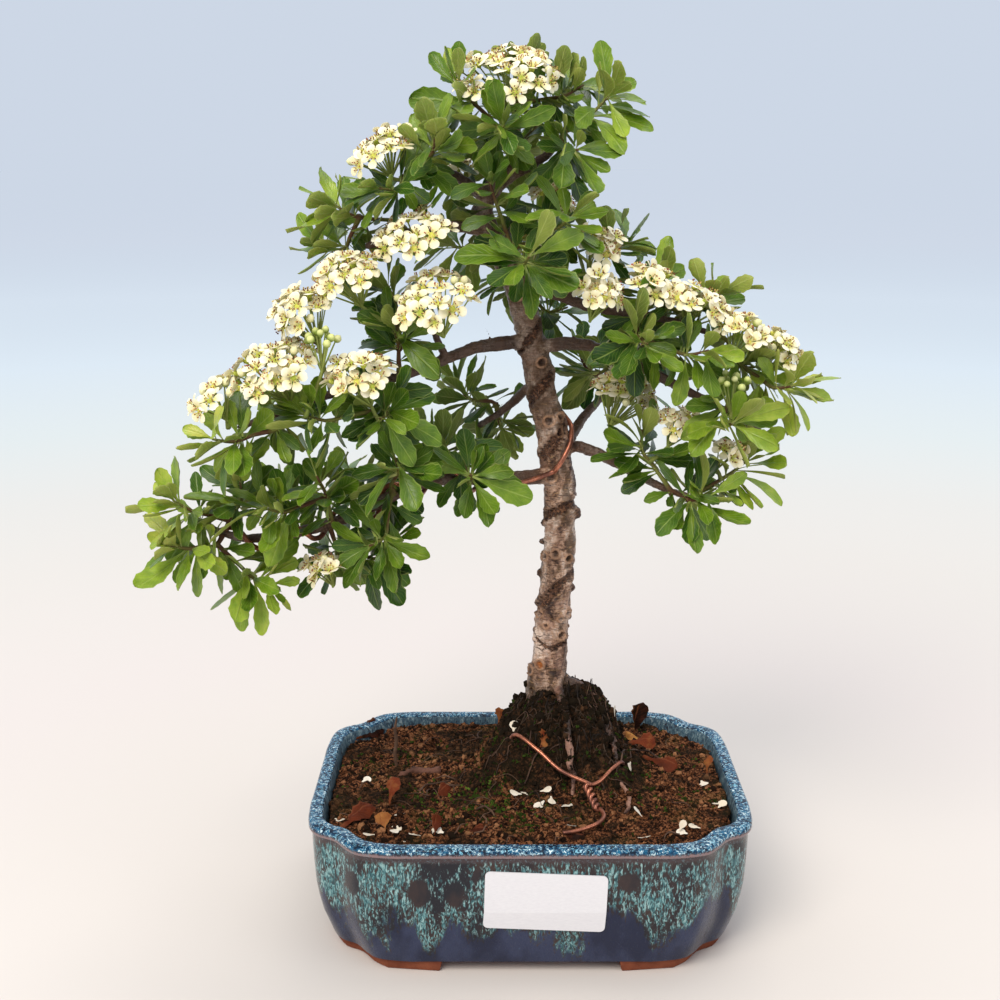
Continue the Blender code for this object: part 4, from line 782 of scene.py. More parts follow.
def clay_finish():
    """Bare fired clay on the feet."""
    f = Finish("bare clay", Roughness=0.85, Specular_IOR_Level=0.1)
    grain = f.noise(1.6, 4.0)
    broad = f.noise(0.12)
    color = f.mix(f.span(broad, 0.35, 0.65), (0.15, 0.042, 0.022), (0.235, 0.072, 0.036))
    f.color(f.mix(f.span(grain, 0.55, 0.75, 0.0, 0.5), color, (0.10, 0.04, 0.02)))
    f.bump(grain, 0.12, 0.6)
    return f.material


def soil_finish(name, dark, mid, pale, moss, lighter=0.0):
    """Crumbly soil with a share of moss between its crumbs."""
    f = Finish(name, Roughness=0.95, Specular_IOR_Level=0.06)
    grain = f.noise(0.8, 5.0, 0.8)
    broad = f.noise(0.09, 4.0, 0.6)
    damp = f.noise(0.05, 3.0, place=(4.0, 1.0, 0.0))
    tint = f.attribute("tint")
    mixed = f.add(f.times(grain, 0.55 + lighter), f.times(tint, 0.45))
    color = f.ramp(mixed, ((0.42, dark), (0.475, mid), (0.555, pale)))
    mossy = f.times(f.span(broad, 0.54, 0.62), f.span(grain, 0.35, 0.55, 0.3, moss))
    color = f.mix(mossy, color, (0.030, 0.034, 0.008))
    near = f.node("ShaderNodeVectorMath", "Value", f.point, MOUND_AT, operation="DISTANCE")
    wet = f.add(f.span(near, 0.038, 0.024), f.span(damp, 0.50, 0.56, 0.0, 0.85), clamp=True)
    f.color(f.mix(f.times(wet, 0.85), color, (0.013, 0.009, 0.005)))
    f.bump(grain, 0.8, 1.0)
    return f.material


def moss_finish():
    """Moss, from olive to bright green."""
    f = Finish("moss", Roughness=0.95, Specular_IOR_Level=0.06)
    grain = f.noise(1.5, 4.0)
    tint = f.add(f.times(f.attribute("tint"), 0.75), f.times(grain, 0.3))
    f.color(f.ramp(tint, ((0.1, (0.010, 0.015, 0.003)), (0.55, (0.030, 0.050, 0.007)),
                          (0.95, (0.11, 0.17, 0.022)))))
    f.bump(grain, 0.3, 0.7)
    return f.material


def bark_finish():
    """Silvery brown bark with dark ragged scars, knots with dark eyes and tan dashes across it."""
    f = Finish("bark", Specular_IOR_Level=0.36)
    height = f.times(f.node("ShaderNodeSeparateXYZ", "Z", f.point), 1.0 / MM)
    broad = f.noise((0.13, 0.13, 0.08), 4.0, 0.6, 0.6)
    grain = f.noise((0.75, 0.75, 0.55), 5.0, 0.7, 0.5)
    wrinkles = f.noise((0.22, 0.22, 1.5), 4.0, 0.65, 0.3, place=(7.0, 2.0, 4.0))
    dashes = f.noise((0.30, 0.30, 1.5), 2.0, 0.5)
    tone = f.add(f.times(grain, 0.18), f.times(wrinkles, 0.27))
    tone = f.add(tone, f.times(broad, 0.55))
    tone = f.add(tone, f.span(height, *PALER, -0.016, 0.014))
    color = f.ramp(tone, ((0.43, (0.032, 0.014, 0.009)), (0.465, (0.125, 0.062, 0.035)),
                          (0.49, (0.33, 0.190, 0.118)), (0.53, (0.46, 0.300, 0.215)),
                          (0.58, (0.73, 0.56, 0.45))))
    patch = f.noise((0.11, 0.11, 0.07), 3.0, place=(1.0, 9.0, 3.0))
    color = f.mix(f.span(patch, 0.56, 0.61, 0.0, 0.75), color, (0.095, 0.050, 0.022))
    color = f.mix(f.span(patch, 0.47, 0.39, 0.0, 0.4), color, (0.34, 0.185, 0.130))
    color = f.mix(f.span(wrinkles, 0.56, 0.61, 0.0, 0.85), color, (0.055, 0.024, 0.014))
    color = f.mix(f.span(dashes, 0.63, 0.68, 0.0, 0.75), color, (0.42, 0.245, 0.115))
    upper = f.times(f.span(height, *BROWNER), f.span(grain, 0.35, 0.65, 0.90, 0.50))
    color = f.mix(upper, color, (0.080, 0.041, 0.021))
    thin = f.times(f.span(f.attribute("thick_share"), 0.90, 0.3), f.span(grain, 0.3, 0.7, 0.95, 0.6))
    above = f.times(thin, f.span(height, *LIMBS_DARKER, 0.55, 1.0))
    limbs = f.mix(f.span(broad, 0.4, 0.6), (0.085, 0.044, 0.028), (0.040, 0.020, 0.014))
    color = f.mix(above, color, limbs)
    ragged = f.times(f.minus(grain, 0.5), 3.0)
    scar = f.span(f.add(f.attribute("scar"), ragged), 0.25, 0.55)
    fine = f.noise(1.3, 4.0, 0.7, 0.8)
    flakes = f.ramp(fine, ((0.44, (0.010, 0.004, 0.003)), (0.51, (0.078, 0.026, 0.012)),
                           (0.59, (0.29, 0.135, 0.068))))
    color = f.mix(f.times(scar, f.span(f.attribute("scar"), 0.05, 0.3, 0.0, 0.9)), color, flakes)
    color = f.mix(f.span(f.attribute("rings_share"), 0.25, 0.8, 0.0, 0.75), color, (0.40, 0.215, 0.120))
    color = f.mix(f.span(f.attribute("eyes_share"), 0.10, 0.50, 0.0, 0.85), color, (0.040, 0.019, 0.012))
    color = f.mix(f.span(f.attribute("fresh_share"), 0.1, 0.5, 0.0, 0.95), color, (0.42, 0.135, 0.030))
    low = f.times(f.span(height, *ROOTS_EARTHY), f.span(f.attribute("thick_share"), 0.9, 0.4))
    earthy = f.ramp(f.minus(broad, f.span(height, *ROOTS_DARKER, -0.07, 0.08)),
                    ((0.36, (0.024, 0.013, 0.009)), (0.47, (0.090, 0.040, 0.026)),
                     (0.58, (0.29, 0.145, 0.098))))
    color = f.mix(f.times(low, f.span(grain, 0.3, 0.6, 1.0, 0.8)), color, earthy)
    foot = f.add(height, f.span(grain, 0.3, 0.7, -9.0, 9.0))
    foot = f.times(f.span(foot, *FOOT_DIRTY, 0.0, 0.8), f.span(f.attribute("thick_share"), 0.3, 0.7))
    f.color(f.mix(foot, color, (0.040, 0.025, 0.014)))
    f.rough(f.span(grain, 0.3, 0.7, 0.52, 0.30))
    relief = f.add(f.times(grain, 0.5), f.times(f.span(dashes, 0.60, 0.70), 0.5))
    relief = f.add(relief, f.times(wrinkles, 0.8))
    relief = f.add(relief, f.times(f.times(fine, scar), 2.0))
    f.bump(relief, 0.6, 0.9)
    return f.material


def copper_finish():
    """Copper wire gone dull and brown in the open."""
    f = Finish("copper wire", Metallic=0.75, Specular_IOR_Level=0.3)
    broad = f.noise(0.15, 4.0)
    grain = f.noise(1.2)
    color = f.mix(f.span(broad, 0.4, 0.62), (0.46, 0.165, 0.095), (0.190, 0.075, 0.052))
    f.color(f.mix(f.span(grain, 0.5, 0.7, 0.0, 0.5), color, (0.085, 0.036, 0.026)))
    f.rough(f.span(broad, 0.35, 0.65, 0.25, 0.42))
    f.bump(grain, 0.05, 0.3)
    return f.material


def leaf_finish(name, stops, rib, roughness, veins, shine=0.32, glow=0.12):
    """A leaf's skin in the colour of its age, with its rib, veins and paler edge."""
    f = Finish(name, Roughness=roughness, Specular_IOR_Level=shine, Subsurface_Weight=glow,
               Subsurface_Radius=(0.5, 1.0, 0.12), Subsurface_Scale=0.0012)
    tint = f.attribute("tint")
    mottle = f.noise(0.22, 4.0)
    shade = f.add(tint, f.span(mottle, 0.3, 0.7, -0.12, 0.12))
    color = f.ramp(shade, stops)
    apart = f.node("ShaderNodeSeparateXYZ", "X", f.uv())
    across = f.math("ABSOLUTE", f.minus(apart, 0.5))
    along = apart.node.outputs["Y"]
    color = f.mix(f.span(across, 0.010, 0.045, 0.50, 0.0), color, rib)
    slant = f.minus(f.times(along, 9.0), f.times(across, 6.0))
    wave = f.math("SINE", f.times(slant, 2 * math.pi))
    vein = f.times(f.span(wave, 0.75, 1.0), f.span(across, 0.02, 0.08))
    color = f.mix(f.times(vein, veins), color, rib)
    color = f.mix(f.span(across, 0.44, 0.49, 0.0, 0.5), color, rib)
    f.color(f.mix(f.span(along, 0.20, 0.10), color, rib))
    relief = f.add(f.times(vein, -0.5), f.span(across, 0.0, 0.06, 1.0, 0.0))
    f.bump(f.add(relief, f.times(mottle, 0.8)), 0.25, 0.6)
    return f.material


def stem_finish(name, green, brown):
    """Young wood, green and brown by turns."""
    f = Finish(name, Roughness=0.6, Specular_IOR_Level=0.15)
    broad = f.noise(0.12)
    grain = f.noise((1.2, 1.2, 0.6))
    color = f.mix(f.span(broad, 0.4, 0.6), green, brown)
    f.color(f.mix(f.span(grain, 0.5, 0.8, 0.0, 0.5), color, tuple(0.5 * value for value in brown)))
    f.bump(grain, 0.1, 0.4)
    return f.material


def petal_finish():
    """Soft cream petals, yellow-green at their foot."""
    f = Finish("petal", Roughness=0.65, Subsurface_Weight=0.15, Subsurface_Radius=(1.0, 0.9, 0.6),
               Subsurface_Scale=0.0010, Specular_IOR_Level=0.2)
    along = f.node("ShaderNodeSeparateXYZ", "Y", f.uv())
    crinkle = f.noise(0.8)
    color = f.ramp(along, ((0.10, (0.36, 0.40, 0.06)), (0.34, (0.66, 0.62, 0.20)),
                           (0.54, (0.80, 0.73, 0.43)), (0.80, (0.86, 0.79, 0.58)),
                           (1.0, (0.88, 0.82, 0.65))))
    color = f.mix(f.span(f.attribute("tint"), 0.3, 1.0, 0.0, 0.5), color, (0.80, 0.71, 0.38))
    f.color(f.mix(f.span(crinkle, 0.35, 0.7, 0.0, 0.25), color, (0.64, 0.55, 0.33)))
    f.bump(crinkle, 0.12, 0.4)
    return f.material


def bud_finish():
    """Buds, green when young and cream later, always greener at their foot."""
    f = Finish("bud", Roughness=0.5, Specular_IOR_Level=0.3)
    along = f.node("ShaderNodeSeparateXYZ", "Y", f.uv())
    tint = f.attribute("tint")
    ripe = f.mix(f.span(along, 0.15, 0.45), (0.30, 0.35, 0.06), (0.80, 0.74, 0.42))
    young = f.mix(f.span(along, 0.35, 0.85), (0.20, 0.27, 0.035), (0.62, 0.64, 0.24))
    grain = f.noise(0.9)
    color = f.mix(f.span(tint, 0.3, 0.5), young, ripe)
    f.color(f.mix(f.span(grain, 0.5, 0.7, 0.0, 0.3), color, (0.30, 0.34, 0.08)))
    f.bump(grain, 0.1, 0.4)
    return f.material


def plain_finish(name, pale, dark, roughness, grain_scale=1.5):
    """A small part's finish in two tones."""
    f = Finish(name, Roughness=roughness, Specular_IOR_Level=0.15)
    grain = f.noise(grain_scale)
    tone = f.add(f.times(grain, 0.5), f.times(f.attribute("tint"), 0.5))
    f.color(f.mix(f.span(tone, 0.3, 0.7), dark, pale))
    f.bump(grain, 0.06, 0.3)
    return f.material


def paper_finish():
    """A plain white sticker with a trace of fibre."""
    f = Finish("paper label", Roughness=0.45)
    fibre = f.noise((0.6, 0.6, 2.0), 4.0)
    f.color(f.mix(f.span(fibre, 0.3, 0.7), (0.66, 0.64, 0.655), (0.71, 0.69, 0.70)))
    f.bump(fibre, 0.02, 0.3)
    return f.material


GLAZE = glaze_finish()
INNER_GLAZE = inner_glaze_finish()
CLAY = clay_finish()
SOIL = soil_finish("soil", (0.008, 0.004, 0.0025), (0.120, 0.042, 0.017), (0.30, 0.118, 0.052), 0.30, 0.34)
CRUMBS = soil_finish("soil crumbs", (0.014, 0.0065, 0.0035), (0.145, 0.050, 0.020), (0.32, 0.145, 0.065),
                     0.2)
MOSS = moss_finish()
BARK = bark_finish()
COPPER = copper_finish()
LEAF_TOP = leaf_finish("leaf", ((0.0, (0.012, 0.036, 0.004)), (0.28, (0.036, 0.088, 0.005)),
                                (0.56, (0.115, 0.192, 0.010)), (0.82, (0.27, 0.36, 0.030)),
                                (1.0, (0.42, 0.44, 0.070))), (0.28, 0.35, 0.075), 0.33, 0.18)
LEAF_BACK = leaf_finish("leaf back", ((0.0, (0.085, 0.120, 0.018)), (0.5, (0.19, 0.225, 0.036)),
                                      (1.0, (0.34, 0.36, 0.072))),
                        (0.36, 0.39, 0.12), 0.65, 0.25)
DEAD_LEAF = leaf_finish("dead leaf", ((0.0, (0.014, 0.006, 0.004)), (0.5, (0.135, 0.028, 0.011)),
                                      (1.0, (0.44, 0.20, 0.055))),
                        (0.17, 0.050, 0.022), 0.45, 0.1, 0.03, 0.03)
SHOOT = stem_finish("green shoot", (0.15, 0.16, 0.035), (0.11, 0.050, 0.026))
FIBRE = stem_finish("root fibre", (0.050, 0.030, 0.018), (0.012, 0.008, 0.006))
TWIG = stem_finish("twig", (0.12, 0.065, 0.040), (0.045, 0.024, 0.016))
BARE_WOOD = stem_finish("bare wood", (0.125, 0.052, 0.033), (0.040, 0.018, 0.012))
PEDICEL = stem_finish("flower stalk", (0.28, 0.34, 0.08), (0.20, 0.22, 0.055))
PETAL = petal_finish()
FADED_PETAL = plain_finish("fallen petal", (0.84, 0.78, 0.68), (0.66, 0.56, 0.43), 0.6, 0.5)
HEART = plain_finish("flower heart", (0.62, 0.60, 0.10), (0.36, 0.42, 0.05), 0.6)
ANTHER = plain_finish("anther", (0.42, 0.15, 0.075), (0.13, 0.038, 0.026), 0.6)
FILAMENT = plain_finish("filament", (0.86, 0.82, 0.42), (0.66, 0.64, 0.22), 0.6)
POLLEN = plain_finish("pollen", (0.72, 0.56, 0.20), (0.50, 0.34, 0.10), 0.8)
BUD = bud_finish()
NET = plain_finish("plastic net", (0.03, 0.03, 0.03), (0.015, 0.015, 0.015), 0.5)
PAPER = paper_finish()


# View, floor and light

def build_view():
    """The camera, the floor, the sky and the lamps."""
    camera = bpy.data.cameras.new("camera")
    camera.lens = CAMERA_LENS
    camera.sensor_width = SENSOR_WIDTH
    camera.clip_start = 0.01
    view = bpy.data.objects.new("camera", camera)
    bpy.context.scene.collection.objects.link(view)
    view.location = at(*CAMERA_PLACE)
    view.rotation_euler = (CAMERA_TILT, 0.0, 0.0)
    bpy.context.scene.camera = view
    bpy.context.scene.view_settings.view_transform = "Standard"

    bpy.ops.mesh.primitive_circle_add(vertices=64, radius=FLOOR_RADIUS, fill_type="NGON")
    floor = settle(bpy.context.object)
    floor.name = "floor"
    pale = Finish("floor", Roughness=1.0, Specular_IOR_Level=0.0)
    # Painted light and shade on the floor: its tone grades with the distance from the pot.
    away = pale.node("ShaderNodeVectorMath", "Value", pale.point, operation="LENGTH")
    pale.color(pale.ramp(pale.times(away, 1.0 / FLOOR_PAINTED_LIGHT_REACH), FLOOR_PAINTED_LIGHT))
    floor.data.materials.append(pale.material)

    world = bpy.data.worlds.new("studio")
    bpy.context.scene.world = world
    world.use_nodes = True
    tree = world.node_tree
    tree.nodes["Background"].inputs[0].default_value = SKY
    tree.nodes["Background"].inputs[1].default_value = 1.0

    for name, place, size, power, warmth in LAMPS:
        lamp = bpy.data.lights.new(name, "AREA")
        lamp.size = size
        lamp.energy = power
        lamp.color = warmth
        light = bpy.data.objects.new(name, lamp)
        bpy.context.scene.collection.objects.link(light)
        light.location = place
        light.rotation_euler = (LAMPS_AIM - light.location).to_track_quat("-Z", "Y").to_euler()


# The pot

def plan_of_pot():
    """The pot's plan at its widest, as points round it."""
    half_x, half_y = POT_WIDTH / 2, POT_DEPTH / 2
    quarter = [(half_x + x, half_y + y) for x, y in EASED_CORNER]
    ring = list(quarter)
    ring += [(-x, y) for x, y in reversed(quarter)]
    ring += [(-x, -y) for x, y in quarter]
    ring += [(x, -y) for x, y in reversed(quarter)]
    return ring


def rounded_plan():
    """The plan with soft corners, as many points on a closed smooth curve."""
    ring = plan_of_pot()
    count = len(ring)
    result = []
    for index in range(count):
        nearby = [ring[(index + k) % count] for k in (-1, 0, 1, 2)]
        straight = (Vector(nearby[2]) - Vector(nearby[1])).length > 25.0
        steps = 8 if straight else 4
        for step in range(steps):
            t = step / steps
            between = tuple(b + (c - b) * t for b, c in zip(*nearby[1:3]))
            result.append(between if straight else eased(nearby, t))
    return result


def ring_of_points(plan, name):
    """A flat filled shape with a plan's outline, at the foot of the walls."""
    bpy.ops.curve.primitive_nurbs_path_add()
    piece = bpy.context.object
    piece.name = name
    piece.data.splines.clear()
    spline = piece.data.splines.new("POLY")
    spline.points.add(len(plan) - 1)
    for point, (x, y) in zip(spline.points, plan):
        point.co = (x * MM, y * MM, 0.0, 1.0)
    spline.use_cyclic_u = True
    pick(piece)
    bpy.ops.object.convert(target="MESH")
    piece = bpy.context.object
    edit(piece)
    bpy.ops.mesh.edge_face_add()
    bpy.ops.object.mode_set(mode="OBJECT")
    return piece


def draw_walls(piece, levels):
    """Draws the pot's filled plan up and down through levels of (side inset, front inset, height)."""
    half_x, half_y = POT_WIDTH / 2, POT_DEPTH / 2
    edit(piece)
    side, front, height = levels[0]
    wide, deep = half_x - side, half_y - front
    bpy.ops.transform.resize(value=(wide / half_x, deep / half_y, 1.0), center_override=(0, 0, 0))
    bpy.ops.transform.translate(value=(0, 0, height * MM))
    for side, front, level in levels[1:]:
        bpy.ops.mesh.extrude_region_move(TRANSFORM_OT_translate={"value": (0, 0, (level - height) * MM)})
        bpy.ops.transform.resize(value=((half_x - side) / wide, (half_y - front) / deep, 1.0),
                                 center_override=(0, 0, 0))
        wide, deep, height = half_x - side, half_y - front, level
    return done(piece)


def build_pot():
    """The pot with its walls, lip, drain holes and feet."""
    pot = draw_walls(ring_of_points(rounded_plan(), "pot_walls"), OUTER_WALL + INNER_WALL)
    for sign in (-1, 1):
        bpy.ops.mesh.primitive_cylinder_add(vertices=32, radius=DRAIN_RADIUS * MM, depth=0.03,
                                            location=(sign * DRAIN_SPACING / 2 * MM, 0, 0.008))
        drill = bpy.context.object
        apply_step(pot, "BOOLEAN", operation="DIFFERENCE", object=drill, solver="EXACT")
        bpy.data.objects.remove(drill)
    feet = [build_foot(sx, sy) for sx in (-1, 1) for sy in (-1, 1)]
    finishes = (GLAZE, INNER_GLAZE, CLAY)
    for piece in [pot] + feet:
        for finish in finishes:
            piece.data.materials.append(finish)
    for face in pot.data.polygons:
        middle = face.center / MM
        within = facing_in(middle, face.normal)
        low = middle.z < FOOT_HEIGHT + 0.1
        pot_floor = face.normal.z > 0.9 and middle.z < 30.0
        if low or pot_floor or within and middle.z < INSIDE_BARE_BELOW:
            face.material_index = finishes.index(CLAY)
        elif within and middle.z < INSIDE_GLAZE_TOP:
            face.material_index = finishes.index(INNER_GLAZE)
    for foot in feet:
        for face in foot.data.polygons:
            face.material_index = finishes.index(CLAY)
    pot = join([pot] + feet, "pot_dressed")
    pot.data.transform(Matrix.Translation(POT_MIDDLE * MM))
    smoothed(pot, 35)
    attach(pot, "root")
    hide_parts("pot")


def facing_in(middle, normal):
    """Whether a wall face looks to the inside of the pot."""
    return normal.x * middle.x + normal.y * middle.y < 0.0


def build_foot(sign_x, sign_y):
    """One low foot that wraps a corner, with softened edges."""
    half_x, half_y = POT_WIDTH / 2 - FOOT_INSET[0], POT_DEPTH / 2 - FOOT_INSET[1]
    plan = [(half_x, half_y - FOOT_LENGTH_SIDE)]
    plan += [(half_x + x, half_y + y) for x, y in smooth_route(CORNER[1:-1], 13)]
    plan += [(half_x - inward, half_y - back) for inward, back in (
        (FOOT_LENGTH_FRONT, 0.0), (FOOT_LENGTH_FRONT, FOOT_WIDTH), (FOOT_WIDTH + FOOT_SLANT, FOOT_WIDTH),
        (FOOT_WIDTH, FOOT_WIDTH + FOOT_SLANT), (FOOT_WIDTH, FOOT_LENGTH_SIDE))]
    foot = ring_of_points([(sign_x * x, sign_y * y) for x, y in plan], "foot")
    edit(foot)
    rise = (0, 0, (FOOT_HEIGHT + FOOT_OVERLAP) * MM)
    bpy.ops.mesh.extrude_region_move(TRANSFORM_OT_translate={"value": rise})
    centre = (sign_x * (half_x - 20.0) * MM, sign_y * (half_y - 17.0) * MM, 0.0)
    bpy.ops.transform.resize(value=(1.05, 1.05, 1.0), center_override=centre)
    done(foot)
    apply_step(foot, "BEVEL", width=0.7 * MM, segments=2, limit_method="ANGLE",
               angle_limit=math.radians(40))
    return foot


# The soil

def soil_top(x, y):
    """The height of the soil's surface, with its mound round the trunk."""
    away = math.hypot(x - MOUND_PLACE[0], y - MOUND_PLACE[1])
    mound = MOUND_HEIGHT * math.exp(-(away / MOUND_SPREAD) ** MOUND_POWER)
    dome = DOME_HEIGHT * math.exp(-(away / DOME_SPREAD) ** 2)
    crumbs = 0.5 * math.sin(x * 0.31 + 1.0) * math.cos(y * 0.27) + 0.4 * math.sin(x * 0.13 - y * 0.41)
    return SOIL_EDGE + mound + dome + crumbs * min(1.0, away * away / 400.0)


def build_soil():
    """The pot's filling: a rough skin over the CAD soil's form, without its twigs and leaves."""
    soil = finer_copy("soil", SOIL_SKIN)

    def scraps_above(point):
        return max(0.0, point.z - soil_top(point.x, point.y) - 0.2) / SCRAP_SPAN

    weigh(soil, "scraps", scraps_above)
    shift(soil, -SCRAP_SPAN, "scraps", "Z")
    apply_step(soil, "SMOOTH", factor=0.5, iterations=2)

    def top_share(point):
        return held((point.z - 45.0) / 3.0)

    def mound_share(point):
        away = math.hypot(point.x - MOUND_PLACE[0], point.y - MOUND_PLACE[1])
        return top_share(point) * held((44.0 - away) / 12.0)

    def shoulder(point):
        away = (point.x - SHOULDER_PLACE[0]) ** 2 + (point.y - SHOULDER_PLACE[1]) ** 2
        return top_share(point) * math.exp(-away / SHOULDER_SPREAD ** 2)

    weigh(soil, "top", top_share)
    weigh(soil, "mound", mound_share)
    weigh(soil, "shoulder", shoulder)
    shift(soil, SHOULDER_RISE, "shoulder", "Z")
    roughen(soil, "lumps", 9.0, 5.0, "mound")
    roughen(soil, "clods", 4.0, 3.0, "top")
    roughen(soil, "grit", 1.6, 1.8, "top")
    soil.data.materials.append(SOIL)
    smoothed(soil)
    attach(soil, "root")
    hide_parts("soil")
    return soil


def shift(piece, depth, group, way="NORMAL"):
    """Shifts a group of points, outwards or one way, by a depth in millimetres and their weights."""
    apply_step(piece, "DISPLACE", strength=depth * MM, mid_level=0.0, vertex_group=group, direction=way)


def roughen(piece, name, size, depth, group, way="NORMAL"):
    """Shifts a piece's skin, outwards or one way, by a pattern of a size and depth in millimetres."""
    texture = bpy.data.textures.new(name, "CLOUDS")
    texture.noise_scale = size * MM
    settings = {"texture": texture, "strength": depth * MM, "mid_level": 0.5, "texture_coords": "LOCAL",
                "direction": way}
    if group in piece.vertex_groups:
        settings["vertex_group"] = group
    apply_step(piece, "DISPLACE", **settings)


def weigh(piece, name, weight):
    """A group of points, each with its weight by place, kept also for the finish to read."""
    group = piece.vertex_groups.new(name=name)
    values = []
    for index, point in enumerate(points_of(piece)):
        share = weight(point)
        values.append(share)
        if share > 0.0:
            group.add([index], share, "REPLACE")
    kept = piece.data.attributes.new(f"{name}_share", "FLOAT", "POINT")
    kept.data.foreach_set("value", values)
    return values


def ground(tree, x, y):
    """The place and slope of the soil's skin straight below a point."""
    return tree.ray_cast(Vector((x, y, OVER_THE_SOIL)), DOWN)[:2]


def on_soil(draw, tree, spread=None):
    """A seeded place on the soil, inside the pot's walls and off the wood."""
    far_x, far_y = LITTER_REACH
    while True:
        if spread:
            x = draw.gauss(spread[0], spread[2])
            y = draw.gauss(spread[1], spread[2])
        else:
            x = draw.uniform(-far_x, far_x)
            y = draw.uniform(-far_y, far_y)
        corner = abs(x) > LITTER_CORNER[0] and abs(y) > LITTER_CORNER[1]
        if abs(x) > far_x or abs(y) > far_y or corner:
            continue
        place, slope = ground(tree, x, y)
        if place is not None and place.z < LITTER_TOP and slope.z > 0.0:
            return place, slope


def grain_master(kind):
    """A crumb of soil about 2 mm across: a plain one for grit and a fuller one for clods."""
    if kind == "grit":
        bpy.ops.mesh.primitive_cube_add(size=1.5 * MM)
    else:
        bpy.ops.mesh.primitive_ico_sphere_add(subdivisions=1, radius=MM)
    grain = settle(bpy.context.object)
    grain.name = kind
    edit_where(grain, lambda co: co.x > 0.0004)
    bpy.ops.transform.resize(value=(0.8, 0.6, 1.2), center_override=(0, 0, 0))
    bpy.ops.transform.translate(value=(0.0, 0.0002, 0.0003))
    done(grain)
    edit_where(grain, lambda co: co.y < -0.0003)
    bpy.ops.transform.translate(value=(0.0003, 0.0, -0.0002))
    done(grain)
    grain.data.materials.append(CRUMBS)
    return grain


def handful(grain, spread, draw):
    """A few of one thing lying loosely together, to be strewn as one."""
    places = []
    for _ in range(HANDFUL):
        spot = Vector([draw.uniform(-reach, reach) for reach in (spread, spread, 0.25)])
        turn = Quaternion([draw.uniform(-1, 1) for _ in range(3)], draw.uniform(0, 1.2))
        size = [draw.uniform(0.6, 1.25) for _ in range(3)]
        places.append(Matrix.Translation(spot * MM) @ (turn.to_matrix() @ Matrix.Diagonal(size)).to_4x4())
    together = copies(grain, places, f"{grain.name} handful")
    bpy.data.objects.remove(grain)
    return together


def strewn(master, name, draw, tree, regions):
    """Copies of a master strewn over regions: (place and spread, number, sizes, middle tint)."""
    places = []
    tints = []
    for spread, number, sizes, tint in regions:
        for _ in range(number):
            place, slope = on_soil(draw, tree, spread)
            size = draw.uniform(*sizes)
            aim = (slope + Vector([draw.uniform(-0.35, 0.35) for _ in range(3)])).normalized()
            shape = (size, size * draw.uniform(0.8, 1.1), size * draw.uniform(0.7, 1.1))
            places.append(aimed(place, aim, shape, draw.uniform(0, 6)))
            tints.append(held(draw.gauss(tint, 0.17)))
    together = copies(master, places, name, tints)
    bpy.data.objects.remove(master)
    return together


def build_crumbs(tree):
    """Loose crumbs of soil and clods, moss cushions and fine rootlets on the soil."""
    draw = random.Random("crumbs")
    grit = handful(grain_master("grit"), 2.4, draw)
    clods = grain_master("clods")
    grit = strewn(grit, "grit", draw, tree, GRIT_REGIONS)
    clods = strewn(clods, "clods", draw, tree, CLOD_REGIONS)
    finish_extra(join([grit, clods], "soil_crumbs"))

    tuft = drawn_out("moss_tuft", 3, ((0, 0, -0.3, 0.62, 0.62, 0), (0.1, 0, 0.9, 0.20, 0.20, 0.4)))
    tuft.data.materials.append(MOSS)
    tufts = handful(tuft, 1.3, draw)
    regions = [((x, y, spread), round(count / 8), (0.6, 1.15), 0.42 * bright + 0.12)
               for x, y, spread, count, bright in MOSS_PATCHES]
    finish_extra(strewn(tufts, "moss", draw, tree, regions))

    threads = []
    for index in range(THREADS):
        near = index % 3 > 0
        spread, lengths, radii, bows = NEAR_THREADS if near else FAR_THREADS
        place = on_soil(draw, tree, spread)[0]
        way = Vector((draw.uniform(-1, 1), draw.uniform(-1, 1), 0.0)).normalized()
        reach = draw.uniform(*lengths)
        thick = draw.choice(radii)
        bow = draw.uniform(*bows)
        route = []
        for step in range(5):
            t = step / 4
            spot = place + way * (reach * (t - 0.5))
            spot += way.cross(UP) * (draw.uniform(-1.2, 1.2))
            lower = ground(tree, spot.x, spot.y)[0]
            height = (lower.z if lower else place.z) + 0.1 + bow * math.sin(math.pi * t)
            route.append((spot.x, spot.y, height, thick * (1.0 - 0.4 * t)))
        threads.append(rod(f"thread {index}", route, FIBRE if near and index % 7 else TWIG, 9, 0))
    for index, scrap in enumerate((LYING_STUB, STANDING_TWIG)):
        route = [(x, y, soil_top(x, y) + lift, radius) for x, y, lift, radius in scrap]
        twig = rod(f"scrap {index}", route, BARE_WOOD if index == 0 else TWIG, 40, 3)
        roughen(twig, f"scrap skin {index}", 1.6, 1.7 if index == 0 else 0.4, "all")
        threads.append(twig)
    finish_extra(join(threads, "rootlets"))


def finish_extra(piece):
    """Lets an added piece ride with the part."""
    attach(piece, "root")


# The wood

def on_trunk(spine, height, degrees, out=0.0):
    """A place on the trunk's skin, or out from it, by its height and its way round."""
    x, y, _, thick = min(spine, key=lambda p: abs(p[2] - height))
    angle = math.radians(degrees)
    reach = thick + out
    return Vector((x + reach * math.cos(angle), y + reach * math.sin(angle), height))


def nearest_tree(points):
    """A quick search of the nearest of many points."""
    tree = KDTree(len(points))
    for index, point in enumerate(points):
        tree.insert(point, index)
    tree.balance()
    return tree


